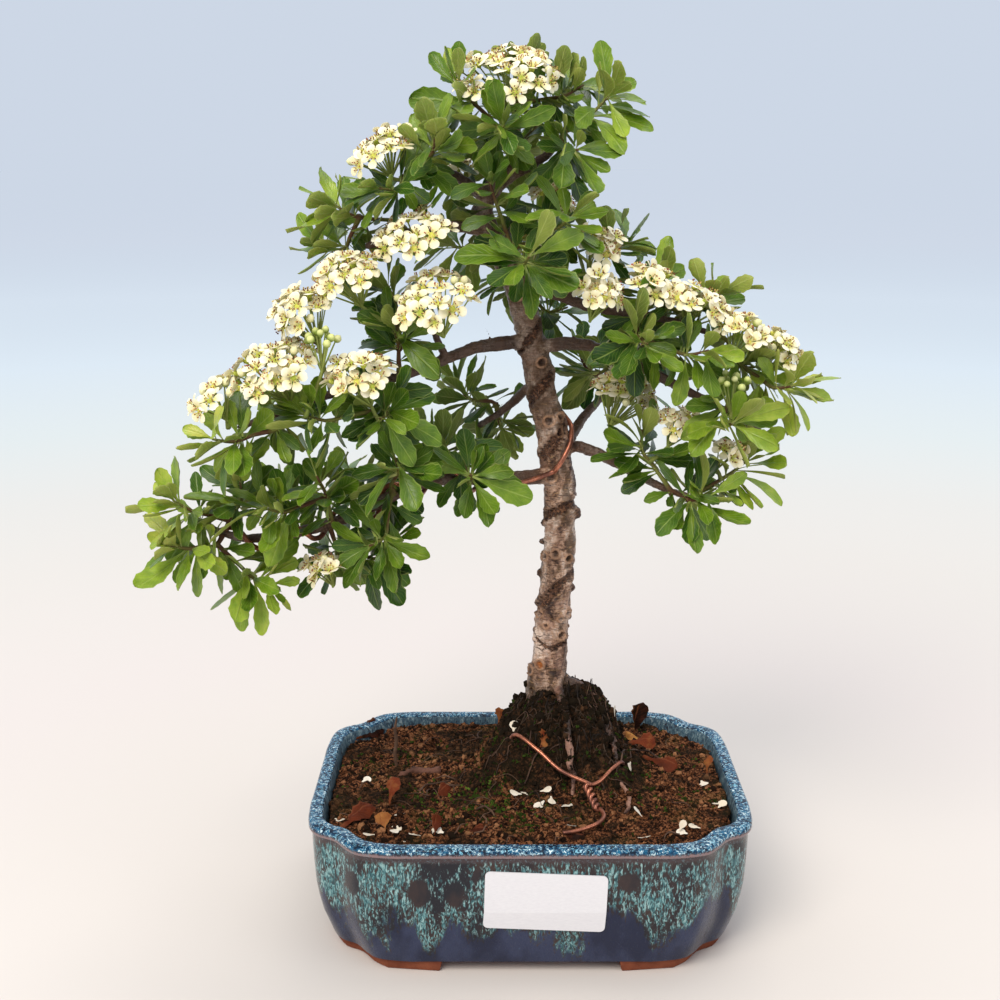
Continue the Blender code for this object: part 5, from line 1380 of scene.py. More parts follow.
def build_trunk():
    """Trunk, branches and roots: bark over the CAD wood's form, with the scars of old wire."""
    trunk = finer_copy("trunk", BARK_SKIN)
    apply_step(trunk, "SMOOTH", factor=0.5, iterations=4)
    spine = smooth_route(TRUNK, 260)
    middle_line = nearest_tree([Vector(p[:3]) for p in spine])

    def trunk_share(point):
        _, index, away = middle_line.find(point)
        return held(1.3 - (away - spine[index][3]) / 4.0)

    def root_share(point):
        return held((80.0 - point.z) / 12.0) * (1.0 - trunk_share(point))

    weigh(trunk, "thick", trunk_share)
    roughen(trunk, "swells", 9.0, 1.8, "thick")
    roughen(trunk, "plates", 3.5, 0.9, "thick")
    roughen(trunk, "flakes", 1.4, 0.25, "thick")
    roughen(trunk, "twig skin", 2.6, 0.7, "all")
    weigh(trunk, "roots", root_share)
    for way in ("X", "Y"):
        roughen(trunk, f"root bends {way}", 7.0, 4.5, "roots", way)

    scars = []
    for path, _ in SCARS:
        fine = smooth_route([(height, degrees) for height, degrees in path], 60)
        scars.append(nearest_tree([on_trunk(spine, height, degrees) for height, degrees in fine]))

    def scar_depth(point):
        best = 0.0
        for tree, (_, half) in zip(scars, SCARS):
            away = tree.find(point)[2] / half
            wander = 0.18 * math.sin(point.z * 2.3 + point.x * 1.9) + 0.14 * math.sin(point.z * 5.1)
            best = max(best, 1.0 - (away + wander) ** 2)
        return max(0.0, best)

    def scar_rim(point):
        best = 0.0
        for tree, (_, half) in zip(scars, SCARS):
            away = tree.find(point)[2] / half
            best = max(best, 1.0 - abs(away - 1.15) / 0.45)
        return max(0.0, best)

    knots = [(on_trunk(spine, height, degrees), radius) for height, degrees, radius in KNOTS]
    stubs = [(on_trunk(spine, height, degrees), radius, out) for height, degrees, radius, out in STUBS]
    fresh = on_trunk(spine, *FRESH_CUT[:2])

    def knot_ring(point):
        away = [abs((point - place).length - 0.95 * radius) for place, radius in knots]
        return max(0.0, 1.0 - min(away) / 0.85)

    def knot_eye(point):
        return max([0.0] + [1.0 - (point - place).length / (radius * 0.66) for place, radius in knots])

    def fresh_eye(point):
        return max(0.0, 1.0 - (point - fresh).length / FRESH_CUT[2])

    def stub_share(point):
        rise = [out * (1.0 - ((point - place).length / radius) ** 2) for place, radius, out in stubs]
        return max([0.0] + rise) / 2.0

    depth = weigh(trunk, "scar_depth", scar_depth)
    weigh(trunk, "scar_rim", scar_rim)
    weigh(trunk, "rings", knot_ring)
    weigh(trunk, "eyes", knot_eye)
    weigh(trunk, "fresh", fresh_eye)
    stubs_out = weigh(trunk, "stubs", stub_share)
    for group, depth_of_group in RELIEF:
        shift(trunk, depth_of_group, group)
    roughen(trunk, "scar bark", 1.5, 2.4, "scar_depth")
    roughen(trunk, "stub bark", 1.3, 1.4, "stubs")
    scar = trunk.data.attributes.new("scar", "FLOAT", "POINT")
    scar.data.foreach_set("value", [min(1.0, max(a, 1.6 * b)) for a, b in zip(depth, stubs_out)])
    trunk.data.materials.append(BARK)
    smoothed(trunk)
    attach(trunk, "root")
    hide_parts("trunk")
    return trunk


# The wires

def around(place, ahead, radius, angle):
    """A point beside a limb, at an angle round it measured from straight up."""
    side = ahead.cross(UP).normalized()
    over = side.cross(ahead).normalized()
    return place + radius * (over * math.cos(angle) + side * math.sin(angle))


def build_training_wire():
    """A turn round the trunk's front, then a helix out along the lower left branch."""
    spine = smooth_route(TRUNK, 200)
    route = [(*on_trunk(spine, height, degrees, WIRE_RADIUS + WIRE_GAP_TRUNK), WIRE_RADIUS)
             for height, degrees in TRUNK_TURN]
    limb = smooth_route(LOW_LEFT_BRANCH, 240)
    first, last = (int(share * len(limb)) for share in BRANCH_TURN_SPAN)
    travel = 0.0
    turned = 0.0
    for index in range(first, last):
        place, following = Vector(limb[index][:3]), Vector(limb[index + 1][:3])
        if travel / BRANCH_TURN_LENGTH * 2 * math.pi >= turned:
            reach = limb[index][3] + WIRE_RADIUS + WIRE_GAP_BRANCH
            ahead = (following - place).normalized()
            spot = around(place, ahead, reach, BRANCH_TURN_START + turned)
            route.append((*spot, WIRE_RADIUS))
            turned += BRANCH_TURN_STEP
        travel += (following - place).length
    wire = rod("training_wire_dressed", route, COPPER, len(route) * 6, 3)
    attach(wire, "root")
    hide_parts("training_wire")


def build_anchor_wire():
    """Two ends of one tie: out of the soil, twisted together, and a bent tail."""
    (sx, sy), (ex, ey) = ANCHOR_TWIST
    arms = []
    for number, (arm, phase) in enumerate(zip(ANCHOR_ARMS, (0.0, math.pi))):
        route = [(x, y, soil_top(x, y) + lift, ANCHOR_RADIUS) for x, y, lift in arm]
        for step in range(1, 22):
            t = step / 21
            x, y = sx + (ex - sx) * t, sy + (ey - sy) * t
            angle = phase + 2 * math.pi * ANCHOR_TWIST_TURNS * t
            middle = soil_top(x, y) + ANCHOR_TWIST_LIFT
            route.append((x + ANCHOR_TWIST_RADIUS * math.cos(angle), y,
                          middle + ANCHOR_TWIST_RADIUS * math.sin(angle), ANCHOR_RADIUS))
        if phase:
            route += [(x, y, soil_top(x, y) + lift, ANCHOR_RADIUS) for x, y, lift in ANCHOR_TAIL]
        arms.append(rod(f"arm {number}", route, COPPER, len(route) * 5, 3))
    wire = join(arms, "anchor_wire_dressed")
    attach(wire, "root")
    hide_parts("anchor_wire")


# Leaves

# A leaf's outline: shares of its length and of its width
LEAF_PROFILE = ((0.0, 0.08), (0.10, 0.09), (0.20, 0.18), (0.31, 0.36), (0.43, 0.60), (0.54, 0.81),
                (0.65, 0.96), (0.75, 1.0), (0.83, 0.95), (0.90, 0.80), (0.95, 0.58), (0.985, 0.32),
                (1.0, 0.05))
LEAF_TEETH = 0.07
MASTER_LENGTH = 20.0
MASTER_HALF_WIDTH = 4.2
# Forms of leaf: arch, depth of the fold, lift of the edges, twist, sideways sweep and wave
LEAF_FORMS = {
    "open": (0.06, 1.8, 0.2, 0.15, 0.04, 0.12),
    "folded": (0.12, 5.2, 1.4, -0.20, -0.06, 0.12),
    "curled": (0.34, 2.6, -0.9, 0.40, 0.07, 0.05),
    "wavy": (0.02, 2.2, 0.6, -0.60, -0.10, 0.32),
    "twisted": (0.14, 3.0, 0.4, 1.00, 0.06, 0.15),
    "cupped": (-0.17, 3.8, 1.6, 0.10, -0.07, 0.10),
    "hanging": (0.52, 3.2, 0.8, -0.35, 0.09, 0.10),
}


def leaf_section(fold, lift):
    """Gives a leaf's cross-section its fold: the rib down, the edges up or down."""
    def shape(piece):
        for low, high, thin, rise in ((-0.1, 0.1, 0.6, -fold), (0.6, 0.8, 0.8, 0.42 * (lift - fold)),
                                      (0.9, 1.1, 1.0, lift)):
            edit_where(piece, lambda co: low < abs(co.x) < high)
            bpy.ops.transform.resize(value=(1.0, thin, 1.0), center_override=(0, 0, 0))
            bpy.ops.transform.translate(value=(0.0, rise, 0.0))
            bpy.ops.object.mode_set(mode="OBJECT")
    return shape


def leaf_master(name, form, teeth, finishes=None):
    """A toothed leaf 20 mm long and 8.4 mm wide on a short stalk, along +Z, its top to +Y."""
    arch, fold, lift, twist, sweep, wave = form
    stations = []
    for index, (share, width) in enumerate(LEAF_PROFILE):
        if 3 <= index <= 9:
            width *= 1.0 + (teeth if index % 2 == 0 else -teeth)
        stations.append((sweep * MASTER_LENGTH * share ** 2, -arch * MASTER_LENGTH * share ** 2,
                         share * MASTER_LENGTH, width * MASTER_HALF_WIDTH, 0.26 * (0.4 + 0.6 * width),
                         twist * share + wave * math.sin(share * 5.5)))
    leaf = drawn_out(name, 8, stations, leaf_section(fold, lift))

    def flat_on(place, vector):
        """A vector of the leaf laid back flat, as before its twist, and the station it is at."""
        station = min(stations, key=lambda s: abs(s[2] - place.z))
        return Matrix.Rotation(station[5], 3, "Z") @ vector, station

    def across_and_along(co):
        x, y = min(stations, key=lambda s: abs(s[2] - co.z))[:2]
        flat, station = flat_on(co, Vector((co.x - x, co.y - y, 0.0)))
        return 0.5 + 0.5 * flat.x / station[3], co.z / MASTER_LENGTH

    mark_along(leaf, across_and_along)
    for finish in finishes or (LEAF_TOP, LEAF_BACK):
        leaf.data.materials.append(finish)
    if not finishes:
        for face in leaf.data.polygons:
            face.material_index = 1 if flat_on(face.center / MM, face.normal)[0].y < 0.0 else 0
    return smoothed(leaf, 50)


def shoot_tip(hub, start):
    """Where a shoot ends: on along the stem, up and out of the crown."""
    out = Vector((hub.x - CROWN_MIDDLE[0], hub.y, 0.0)).normalized()
    aim = (hub - start).normalized() * 0.8 + UP * 0.55 + out * 0.45
    return hub + aim.normalized() * SHOOT_TIP


def shoot_route(start, leave, hub):
    """A green stem from its seat to its rosette and a little beyond."""
    reach = (hub - start).length
    bend = start + leave * min(3.0, reach * 0.3) + (hub - start) * 0.15
    middle = start.lerp(hub, 0.6) + leave * 1.0
    tip = shoot_tip(hub, start)
    return ((*(start - leave * 0.8), 1.4), (*(start + leave * 0.8), 1.05), (*bend, 0.85), (*middle, 0.75),
            (*hub, 0.7), (*tip, 0.4))


def scatter(draw, spread):
    """A small random shift."""
    return Vector([draw.gauss(0, spread) for _ in range(3)])


def square_to(face, along):
    """The part of a direction that is square to another, as a unit vector."""
    face = face - along * face.dot(along)
    return face.normalized() if face.length > 0.2 else along.orthogonal().normalized()


def leaf_face(base, along, aim, draw):
    """Which way a leaf's top looks: up and out of the crown, and turned a little at random."""
    out = Vector((base.x - CROWN_MIDDLE[0], base.y - CROWN_MIDDLE[1], 0.0)).normalized()
    face = UP * 0.7 + aim * 0.25 + out * 0.4 + Vector((0.0, -0.25, 0.0))
    face += scatter(draw, 0.2)
    return Quaternion(along, draw.gauss(0.0, 0.36)) @ square_to(face, along)


def leaf_candidates(key, index, fine, targets):
    """Ways to place one leaf near the end of a shoot, the best first."""
    draw = random.Random(f"{key} {index}")
    aim = (Vector(fine[-1][:3]) - Vector(fine[-12][:3])).normalized()
    first = aim.orthogonal().normalized()
    second = aim.cross(first)
    for attempt in range(LEAF_TRIES):
        loose = attempt / LEAF_TRIES
        young = draw.random()
        base = Vector(fine[int((0.66 + 0.335 * young) * (len(fine) - 1))][:3])
        if index < len(targets):
            along = Vector(targets[index]) - base
            length = min(along.length, LEAF_LENGTH[1] + 3.0) * (1.0 - 0.35 * loose)
            wander = scatter(draw, 1)
            along = (along.normalized() + wander * (0.08 + 0.5 * loose)).normalized()
        else:
            angle = index * GOLDEN_ANGLE + draw.gauss(0, 0.5) + loose * draw.uniform(-3.0, 3.0)
            opening = math.radians(98.0 - 62.0 * young + draw.gauss(0, 15))
            out = first * math.cos(angle) + second * math.sin(angle)
            along = (aim * math.cos(opening) + out * math.sin(opening) + UP * 0.1).normalized()
            length = draw.uniform(*LEAF_LENGTH) * (1.0 - 0.3 * loose) * (1.0 - 0.35 * young * draw.random())
        width = length * LEAF_WIDTH_RATIO * draw.uniform(0.88, 1.14)
        form = draw.choice(tuple(LEAF_FORMS))
        yield base, along, leaf_face(base, along, aim, draw), length, width, form, young


def stem_leaf_candidates(key, index, fine):
    """Ways to place one smaller leaf on the stem below the end of a shoot."""
    draw = random.Random(f"{key} stem {index}")
    for attempt in range(LEAF_TRIES):
        step = int(draw.uniform(0.28, 0.70) * (len(fine) - 1))
        base = Vector(fine[step][:3])
        ahead = (Vector(fine[step + 1][:3]) - base).normalized()
        first = ahead.orthogonal().normalized()
        angle = draw.uniform(0, 2 * math.pi)
        out = first * math.cos(angle) + ahead.cross(first) * math.sin(angle)
        opening = math.radians(draw.uniform(35, 85))
        along = (ahead * math.cos(opening) + out * math.sin(opening)).normalized()
        length = draw.uniform(*STEM_LEAF_LENGTH) * (1.0 - 0.3 * attempt / LEAF_TRIES)
        form = draw.choice(tuple(LEAF_FORMS))
        yield base, along, leaf_face(base, along, ahead, draw), length, length * LEAF_WIDTH_RATIO, form, 0.0


def leaf_blade(base, along, face, length, width, form):
    """A thin leaf with its arch, for testing what it would cross."""
    arch = LEAF_FORMS[form][0] * MASTER_LENGTH * width / (2 * MASTER_HALF_WIDTH)
    side = face.cross(along).normalized()
    points = []
    for share, half in ((0.22, 0.16), (0.42, 0.36), (0.62, 0.48), (0.82, 0.42), (1.0, 0.05)):
        place = base + along * (share * length) - face * (arch * share * share)
        points += [place + side * half * width, place - side * half * width]
    faces = [(k, k + 1, k + 3, k + 2) for k in (0, 2, 4, 6)]
    return points, faces


def within_reach(points):
    """Whether a leaf stays close to the box of the solids."""
    low, high = (Vector(corner) / MM - POT_MIDDLE for corner in cad_box)
    return all(low[k] - margin < point[k] < high[k] + margin
               for point in points for k, margin in enumerate(LEAF_MARGIN))


def dress_spray(name, shoots, masters, obstacles, wood):
    """One spray: its green stems and all its leaves."""
    points = points_of(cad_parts[f"spray_{name}"])
    seat = min(points, key=lambda point: wood.find_nearest(point)[3])
    on_wood, leave, _, _ = wood.find_nearest(seat)
    lines = []
    for place, _ in shoots:
        hub = Vector(place)
        if lines:
            fine = smooth_route(lines[0], STEM_STEPS)
            forks = [Vector(p[:3]) for p in fine[FORKS_FROM:FORKS_TO]]
            start = min(forks, key=lambda point: (point - hub).length)
            lines.append(shoot_route(start, (hub - start).normalized(), hub))
        else:
            lines.append(shoot_route(on_wood, leave, hub))
    stems = [rod(f"stem {k}", line, SHOOT, 16, 1) for k, line in enumerate(lines)]
    placings = {form: [] for form in LEAF_FORMS}
    tints = {form: [] for form in LEAF_FORMS}
    own_points = []
    own_faces = []
    own_tree = None
    for number, ((_, targets), line) in enumerate(zip(shoots, lines)):
        key = f"{name} {number}"
        fine = smooth_route(line, STEM_STEPS)
        x, _, z, _ = line[-2]
        aside = x - TRUNK[0][0]
        out = aside / (CROWN_RIGHT if aside > 0.0 else -CROWN_LEFT)
        youth = random.Random(f"{key} age").uniform(0.0, YOUNG_SHOOTS) + YOUNG_AT_ENDS * out ** 1.6
        youth += YOUNG_ON_TOP * held((z - TOP_BEGINS) / TOP_SPAN)
        ways = [leaf_candidates(key, index, fine, targets) for index in range(LEAVES_PER_SHOOT)]
        ways += [stem_leaf_candidates(key, index, fine) for index in range(STEM_LEAVES)]
        for index, options in enumerate(ways):
            draw = random.Random(f"{key} look {index}")
            for base, along, face, length, width, form, young in options:
                blade = leaf_blade(base + along * 1.0, along, face, length, width, form)
                if not within_reach(blade[0]):
                    continue
                tree = BVHTree.FromPolygons(*blade)
                if any(tree.overlap(other) for other in obstacles):
                    continue
                if own_tree and tree.overlap(own_tree):
                    continue
                side = face.cross(along).normalized()
                wide, long = width / (2 * MASTER_HALF_WIDTH), length / MASTER_LENGTH
                placings[form].append(placed(base + along * 0.2, side, face, along, (wide, wide, long)))
                by_leaf = min(0.16, draw.gauss(0, YOUNG_LEAVES))
                tints[form].append(held(youth + YOUNG_AT_TIP * young + by_leaf))
                start = len(own_points)
                own_points += blade[0]
                own_faces += [tuple(start + k for k in item) for item in blade[1]]
                own_tree = BVHTree.FromPolygons(own_points, own_faces)
                break
    leaves = []
    for form, places in placings.items():
        if places:
            leaves.append(copies(masters[form], places, f"leaves {form}", tints[form]))
    spray = join(leaves + stems, f"spray_{name}_dressed")
    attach(spray, "root")
    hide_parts(f"spray_{name}")
    return own_tree, lines


# Flowers

def petal_master():
    """One thin spoon-shaped petal 5 mm long, along +Z, its top to +Y."""
    stations = ((0, 0, 0.3, 0.28, 0.12, 0), (0, 0.0, 1.6, 0.62, 0.12, 0), (0, 0.0, 2.5, 1.45, 0.12, 0),
                (0, 0.1, 3.6, 1.88, 0.12, 0), (0, 0.3, 4.5, 1.58, 0.12, 0), (0, 0.45, 5.1, 0.75, 0.10, 0))

    def cup(piece):
        edit_where(piece, lambda co: abs(co.x) < 0.1)
        bpy.ops.transform.translate(value=(0.0, -2.4, 0.0))
        bpy.ops.object.mode_set(mode="OBJECT")

    petal = drawn_out("petal", 6, stations, cup)
    mark_along(petal, lambda co: (0.5 + co.x / 5.0, co.z / stations[-1][2]))
    petal.data.materials.append(PETAL)
    return smoothed(petal, 60)


def flower_master(name, opening, turn, petal):
    """A flower of five petals round a green-yellow heart with its ring of stamens."""
    parts = []
    for index in range(PETALS):
        spin = Quaternion((0, 0, 1), index * 2 * math.pi / PETALS + 0.09 * math.sin(index * 2.9 + turn))
        lean = Quaternion((1, 0, 0), -math.radians(opening + 7 * math.sin(index * 2.2 + turn)))
        copy = own_copy(petal)
        copy.matrix_world = (spin @ lean).to_matrix().to_4x4()
        parts.append(copy)
    heart = drawn_out("heart", 6, ((0, 0, -1.6, 0.4, 0.4, 0), (0, 0, -0.6, 1.05, 1.05, 0),
                                   (0, 0, 0.25, 1.30, 1.30, 0), (0, 0, 0.55, 0.7, 0.7, 0)))
    heart.data.materials.append(HEART)
    parts.append(smoothed(heart))
    for index in range(STAMENS):
        angle = index * 2 * math.pi / STAMENS + 0.3 * math.sin(index * 2.3 + turn)
        lean = (0.75 if index % 3 else 0.2) + 0.45 * math.sin(index * 1.9 + turn)
        height = 1.75 + 0.5 * math.cos(index * 2.7)
        foot = Vector((math.cos(angle), math.sin(angle), 0.0))
        head = foot * (1.15 + lean) + UP * height
        stamen = drawn_out("stamen", 3, ((foot.x, foot.y, 0.2, 0.11, 0.11, 0),
                                         (head.x, head.y, head.z, 0.08, 0.08, 0)))
        stamen.data.materials.append(FILAMENT)
        anther = drawn_out("anther", 3, ((head.x, head.y, head.z - 0.25, 0.30, 0.30, 0),
                                         (head.x, head.y, head.z + 0.35, 0.26, 0.26, 0.6)))
        anther.data.materials.append(ANTHER if index % 3 else POLLEN)
        parts += [stamen, anther]
    return join(parts, name)


def bud_master():
    """A round closed bud with the tip of its petals."""
    bud = drawn_out("bud", 8, [(0, 0, height, half, half, turn) for height, half, turn in (
        (0, 0.45, 0), (0.55, 1.25, 0), (1.3, 1.70, 0.1), (2.3, 1.72, 0.2), (3.1, 1.25, 0.3),
        (3.55, 0.5, 0.3), (3.8, 0.15, 0.3))])
    mark_along(bud, lambda co: (0.5, co.z / 3.8))
    bud.data.materials.append(BUD)
    return smoothed(bud)


def stalk_master():
    """A thin stalk of unit length, to be drawn out to any length."""
    stalk = drawn_out("stalk", 4, ((0, 0, 0, 0.36, 0.36, 0), (0, 0, 1000.0, 0.27, 0.27, 0)))
    stalk.data.materials.append(PEDICEL)
    return stalk


def head_aim(middle):
    """Which way a head of flowers faces: up, and out of the crown."""
    out = Vector((middle.x - CROWN_MIDDLE[0], middle.y * 1.2 - 12.0, 0.0))
    return (UP * 0.9 + out.normalized() * 0.45).normalized()


def stalk_between(low, high):
    """The placing of a thin stalk between two places."""
    reach = high - low
    return aimed(low, reach.normalized(), (1.0, 1.0, reach.length * MM))


def dress_head(name, masters, carriers):
    """A dense head: open flowers over its dome, a few buds, and their stalks down to one knot."""
    place, width, height, count = BLOOMS[name]
    middle = Vector(place)
    draw = random.Random(f"head {name}")
    aim = head_aim(middle)
    across = aim.orthogonal().normalized()
    other = aim.cross(across)
    start = draw.uniform(0, 2 * math.pi)
    reach_wide = width - FLOWER_RADIUS * 0.05
    knot = middle - aim * (KNOT_BELOW + height * KNOT_BY_HEIGHT)
    number = round(count * FLOWERS_FOR_ONE)
    open_places = [[], [], []]
    open_tints = [[], [], []]
    stalks = []
    bud_places = []
    bud_tints = []
    for index in range(number):
        share = (index + 0.5) / number
        lean = math.acos(1.0 - share * DOME_SHARE)
        angle = start + index * GOLDEN_ANGLE
        outward = across * math.cos(angle) + other * math.sin(angle)
        spot = middle + outward * (reach_wide * math.sin(lean)) + aim * (height * math.cos(lean))
        normal = outward * (math.sin(lean) / reach_wide) + aim * (math.cos(lean) / height)
        normal = (normal.normalized() + aim * FLOWERS_UP).normalized()
        normal = (normal + scatter(draw, FLOWERS_WANDER)).normalized()
        spot += normal * draw.uniform(*FLOWERS_IN_OUT)
        if draw.random() < BUD_SHARE:
            bud_places.append(aimed(spot - normal * 3.0, normal, (0.85, 0.85, 0.95)))
            bud_tints.append(draw.uniform(0.4, 1.0))
            stalks.append(stalk_between(knot, spot - normal * 2.9))
            continue
        size = draw.uniform(*FLOWER_SIZES)
        kind = draw.choice((0, 0, 1, 1, 2))
        seat = spot - normal * 0.8
        open_places[kind].append(aimed(seat, normal, (size, size, size), draw.uniform(0, 6.28)))
        open_tints[kind].append(draw.random())
        stalks.append(stalk_between(knot, spot - normal * 2.2))
    parts = []
    for kind, places in enumerate(open_places):
        if places:
            parts.append(copies(masters["flowers"][kind], places, f"flowers {kind}", open_tints[kind]))
    if bud_places:
        parts.append(copies(masters["bud"], bud_places, "buds", bud_tints))
    parts.append(copies(masters["stalk"], stalks, "stalks"))
    parts.append(main_stalk(knot, aim, carriers))
    head = join(parts, f"bloom_{name}_dressed")
    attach(head, "root")
    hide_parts(f"bloom_{name}")


def main_stalk(knot, aim, carriers):
    """The stalk that carries a head, from the nearest wood or shoot."""
    found = [tree.find_nearest(knot) for tree in carriers]
    spot, normal, _, _ = min(found, key=lambda hit: hit[3])
    middle = spot.lerp(knot, 0.5) + normal * 1.0
    route = ((*(spot - normal * 0.6), 1.0), (*(spot + normal * 0.8), 0.85), (*middle, 0.7), (*knot, 0.68),
             (*(knot + aim * 1.5), 0.4))
    return rod("head stalk", route, PEDICEL, 12, 1)


def dress_buds(name, masters, carriers):
    """A head still in bud, each bud on its own stalk."""
    place, spread, count = BUDS[name]
    middle = Vector(place)
    draw = random.Random(f"buds {name}")
    knot = middle - UP * 8.0
    places = []
    tints = []
    stalks = []
    number = round(count * BUDS_FOR_ONE)
    for index in range(number):
        angle = index * GOLDEN_ANGLE
        lean = math.acos(1.0 - 0.8 * (index + 0.5) / number)
        way = Vector((math.cos(angle) * math.sin(lean), math.sin(angle) * math.sin(lean), math.cos(lean)))
        spot = middle + way * (spread + draw.uniform(-0.6, 1.4))
        size = draw.uniform(0.62, 0.88)
        places.append(aimed(spot, (way + UP * 0.5).normalized(), (size, size, size)))
        tints.append(draw.uniform(0.0, 0.4))
        stalks.append(stalk_between(knot, spot + way * 0.2))
    parts = [copies(masters["bud"], places, "buds", tints), copies(masters["stalk"], stalks, "stalks"),
             main_stalk(knot, UP, carriers)]
    head = join(parts, f"buds_{name}_dressed")
    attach(head, "root")
    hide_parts(f"buds_{name}")


def build_crown():
    """All leaves and flowers. The leaves keep clear of the wood, the wire, the heads and each other."""
    masters = {name: leaf_master(name, form, LEAF_TEETH) for name, form in LEAF_FORMS.items()}
    wood = tree_of_node("trunk")
    obstacles = [wood, tree_of_node("training_wire")]
    obstacles += [tree_of_node(f"bloom_{name}") for name in BLOOMS]
    obstacles += [tree_of_node(f"buds_{name}") for name in BUDS]
    stem_lines = []
    for name, shoots in SPRAYS.items():
        leaves, lines = dress_spray(name, shoots, masters, obstacles, wood)
        obstacles.append(leaves)
        stem_lines += lines
    for master in masters.values():
        bpy.data.objects.remove(master)

    petal = petal_master()
    flowers = [flower_master(*kind, petal) for kind in FLOWER_KINDS]
    masters = {"flowers": flowers, "bud": bud_master(), "stalk": stalk_master()}
    bpy.data.objects.remove(petal)
    carriers = [wood] + [tree_of_line(line) for line in stem_lines]
    for name in BLOOMS:
        dress_head(name, masters, carriers)
    for name in BUDS:
        dress_buds(name, masters, carriers)
    for master in masters["flowers"] + [masters["bud"], masters["stalk"]]:
        bpy.data.objects.remove(master)


def tree_of_line(line):
    """A search tree of a thin strip along a stem."""
    fine = smooth_route(line, 14)
    points = []
    for x, y, z, _ in fine:
        points += [Vector((x - 0.5, y, z)), Vector((x + 0.5, y, z))]
    faces = [(k, k + 1, k + 3, k + 2) for k in range(0, len(points) - 2, 2)]
    return BVHTree.FromPolygons(points, faces)


# On the soil

FALLEN_PETALS = ((-75, -33), (-68, -1), (-53, -32), (-58, -49), (-52, -46), (-49, -44), (-65, -49),
                 (-48, -53), (-41, -50), (-3, -22), (6, -26), (8, -24), (12, -30), (17, -44), (42, -37),
                 (45, -49), (56, -46), (59, -48), (64, -45), (76, -19), (73, -27), (70, -3), (-6, -3),
                 (40, -5), (-32, -47), (4, -24), (-4, -20), (34, 5))
# A dead leaf's form, as in the forms of leaf, and its teeth
DEAD_FORM = (0.25, 9.0, 7.0, 1.6, 0.14, 0.7)
DEAD_TEETH = 0.10
# Dead leaves and scraps of bark: place, way they point, way their top looks, length, width, paleness
DEAD_LEAVES = (((-72, -42), (0.62, 0.75, 0.22), (-0.3, -0.5, 0.85), 19.0, 3.9, 0.30),
               ((-55, -24), (0.15, 0.35, 0.92), (-0.8, -0.5, 0.2), 11.0, 3.2, 0.50),
               ((-55, -46), (-0.1, 0.6, 0.75), (-0.3, -0.9, 0.3), 8.5, 2.7, 0.68),
               ((-36, -48), (0.2, 0.5, 0.6), (0.2, -0.8, 0.5), 8.0, 2.6, 0.35),
               ((47, 46), (0.22, -0.1, 0.97), (-0.6, -0.8, 0.2), 14.5, 3.6, 0.0),
               ((41, 12), (0.95, 0.25, 0.02), (0.0, -0.5, 1.0), 13.0, 3.2, 0.45),
               ((48, 13), (0.80, -0.60, 0.05), (0.1, -0.4, 1.0), 15.0, 3.4, 0.28),
               ((-74, 44), (0.75, 0.60, 0.2), (0.1, -0.6, 0.8), 15.0, 4.5, 0.02),
               ((43, 29), (0.5, 0.3, 0.6), (-0.3, -0.7, 0.5), 4.5, 3.4, 0.95),
               ((73, 5), (0.1, 0.5, 0.7), (-0.9, -0.3, 0.3), 8.0, 2.2, 0.60),
               ((4, -13), (0.7, 0.4, 0.55), (0.1, -0.9, 0.6), 7.0, 3.8, 0.62),
               ((-12, 12), (0.3, -0.1, 0.9), (-0.3, -0.9, 0.3), 6.0, 2.8, 0.6),
               ((-37, -17), (0.6, 0.5, 0.3), (0.0, -0.6, 0.8), 8.0, 3.0, 0.3),
               ((-24, -45), (1.0, 0.1, 0.12), (0.0, -0.3, 1.0), 8.0, 2.6, 0.20),
               ((12, -48), (0.9, -0.3, 0.1), (0.0, -0.3, 1.0), 8.0, 2.6, 0.05))


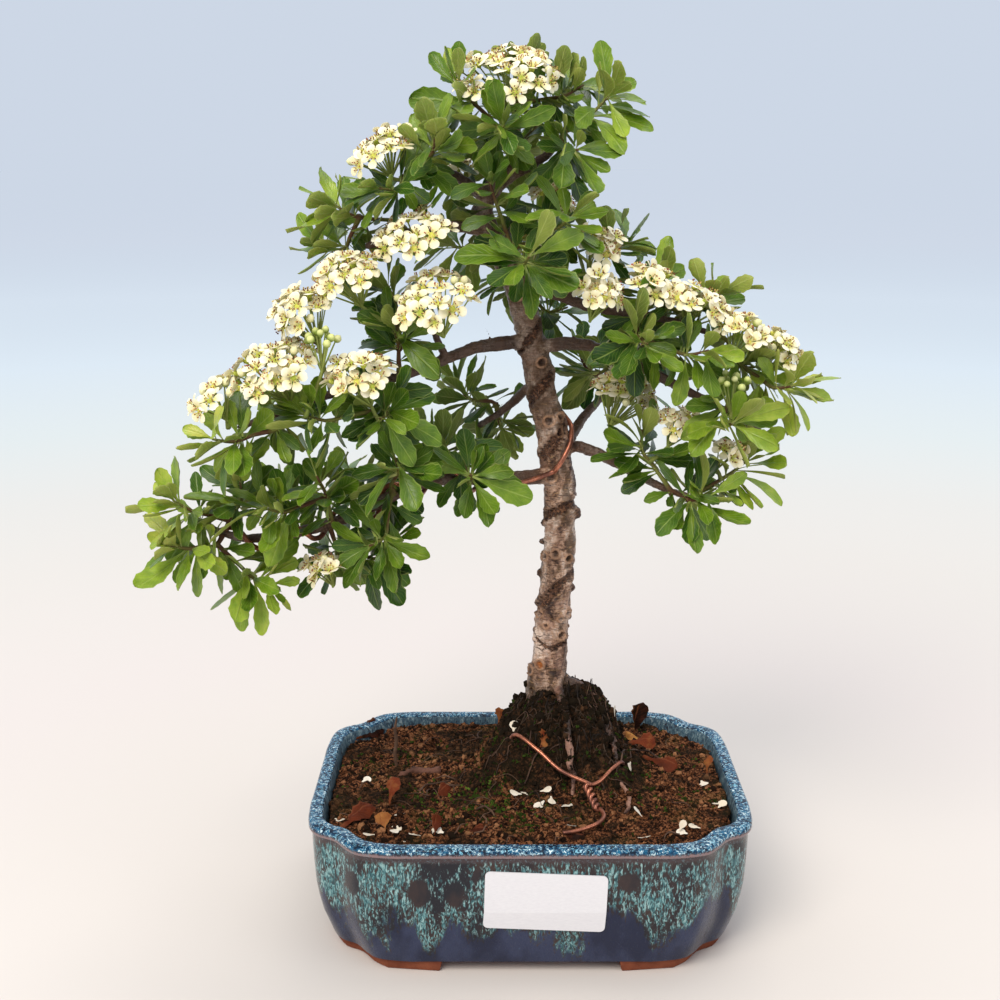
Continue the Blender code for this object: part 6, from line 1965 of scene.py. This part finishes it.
def build_fallen(tree):
    """Fallen petals and dead leaves on the soil."""
    draw = random.Random("fallen")
    petal = petal_master()
    petal.data.materials[0] = FADED_PETAL
    places = []
    for x, y in FALLEN_PETALS:
        place, slope = ground(tree, x, y)
        if place is None:
            continue
        along = square_to(Vector((draw.uniform(-1, 1), draw.uniform(-1, 1), 0.0)), slope)
        side = slope.cross(along).normalized()
        size = draw.uniform(0.90, 1.12)
        places.append(placed(place + slope * 1.1, side, slope, along, (size, size, size)))
    petals = copies(petal, places, "fallen_petals", [draw.random() * 0.5 for _ in places])
    finish_extra(smoothed(petals))
    bpy.data.objects.remove(petal)

    leaf = leaf_master("dead leaf", DEAD_FORM, DEAD_TEETH, (DEAD_LEAF,))
    places = []
    tints = []
    for (x, y), way, face, length, width, tint in DEAD_LEAVES:
        base = Vector((x, y, soil_top(x, y)))
        along = Vector(way).normalized()
        up = square_to(Vector(face), along)
        side = up.cross(along).normalized()
        wide = width / (2 * MASTER_HALF_WIDTH)
        places.append(placed(base, side, up, along, (wide, wide, length / MASTER_LENGTH)))
        tints.append(tint)
    dead = copies(leaf, places, "dead_leaves", tints)
    roughen(dead, "crumples", 3.5, 3.0, "all")
    finish_extra(dead)
    bpy.data.objects.remove(leaf)


# The label and the nets

# The corners' radius, the part of the ends that holds their edges, and the heights beyond which these lie
LABEL_ROUNDING = 1.9
LABEL_END = 1.2
LABEL_LOW, LABEL_HIGH = 22.5, 42.0


def build_label():
    """The blank sticker, following the wall, with rounded corners."""
    label = bare_copy("label")
    bpy.ops.mesh.dissolve_limited(angle_limit=math.radians(1))
    done(label)
    across = [vertex.co.x for vertex in label.data.vertices]
    left, right = min(across) + LABEL_END * MM, max(across) - LABEL_END * MM
    edit(label)
    bpy.ops.mesh.select_mode(type="EDGE")
    bpy.ops.mesh.select_all(action="DESELECT")
    bpy.ops.object.mode_set(mode="OBJECT")
    for edge in label.data.edges:
        ends = [label.data.vertices[index].co for index in edge.vertices]
        at_end = all(co.x < left or co.x > right for co in ends)
        at_edge = all(co.z > LABEL_HIGH * MM or co.z < LABEL_LOW * MM for co in ends)
        edge.select = at_end and at_edge and (ends[0] - ends[1]).length < MM
    bpy.ops.object.mode_set(mode="EDIT")
    bpy.ops.mesh.bevel(offset=LABEL_ROUNDING * MM, segments=4, affect="EDGES", clamp_overlap=False)
    done(label)
    smoothed(label, 30)
    label.data.materials.append(PAPER)
    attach(label, "root")
    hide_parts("label")


def refinish_nets():
    """Dark plastic for the nets over the drain holes."""
    for name in ("drain_mesh_left", "drain_mesh_right"):
        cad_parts[name].data.materials.clear()
        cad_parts[name].data.materials.append(NET)


build_view()
build_pot()
soil_tree = tree_of_ground((build_soil(), build_trunk()), ROOTS_TOP)
build_crumbs(soil_tree)
build_fallen(soil_tree)
build_training_wire()
build_anchor_wire()
build_crown()
build_label()
refinish_nets()
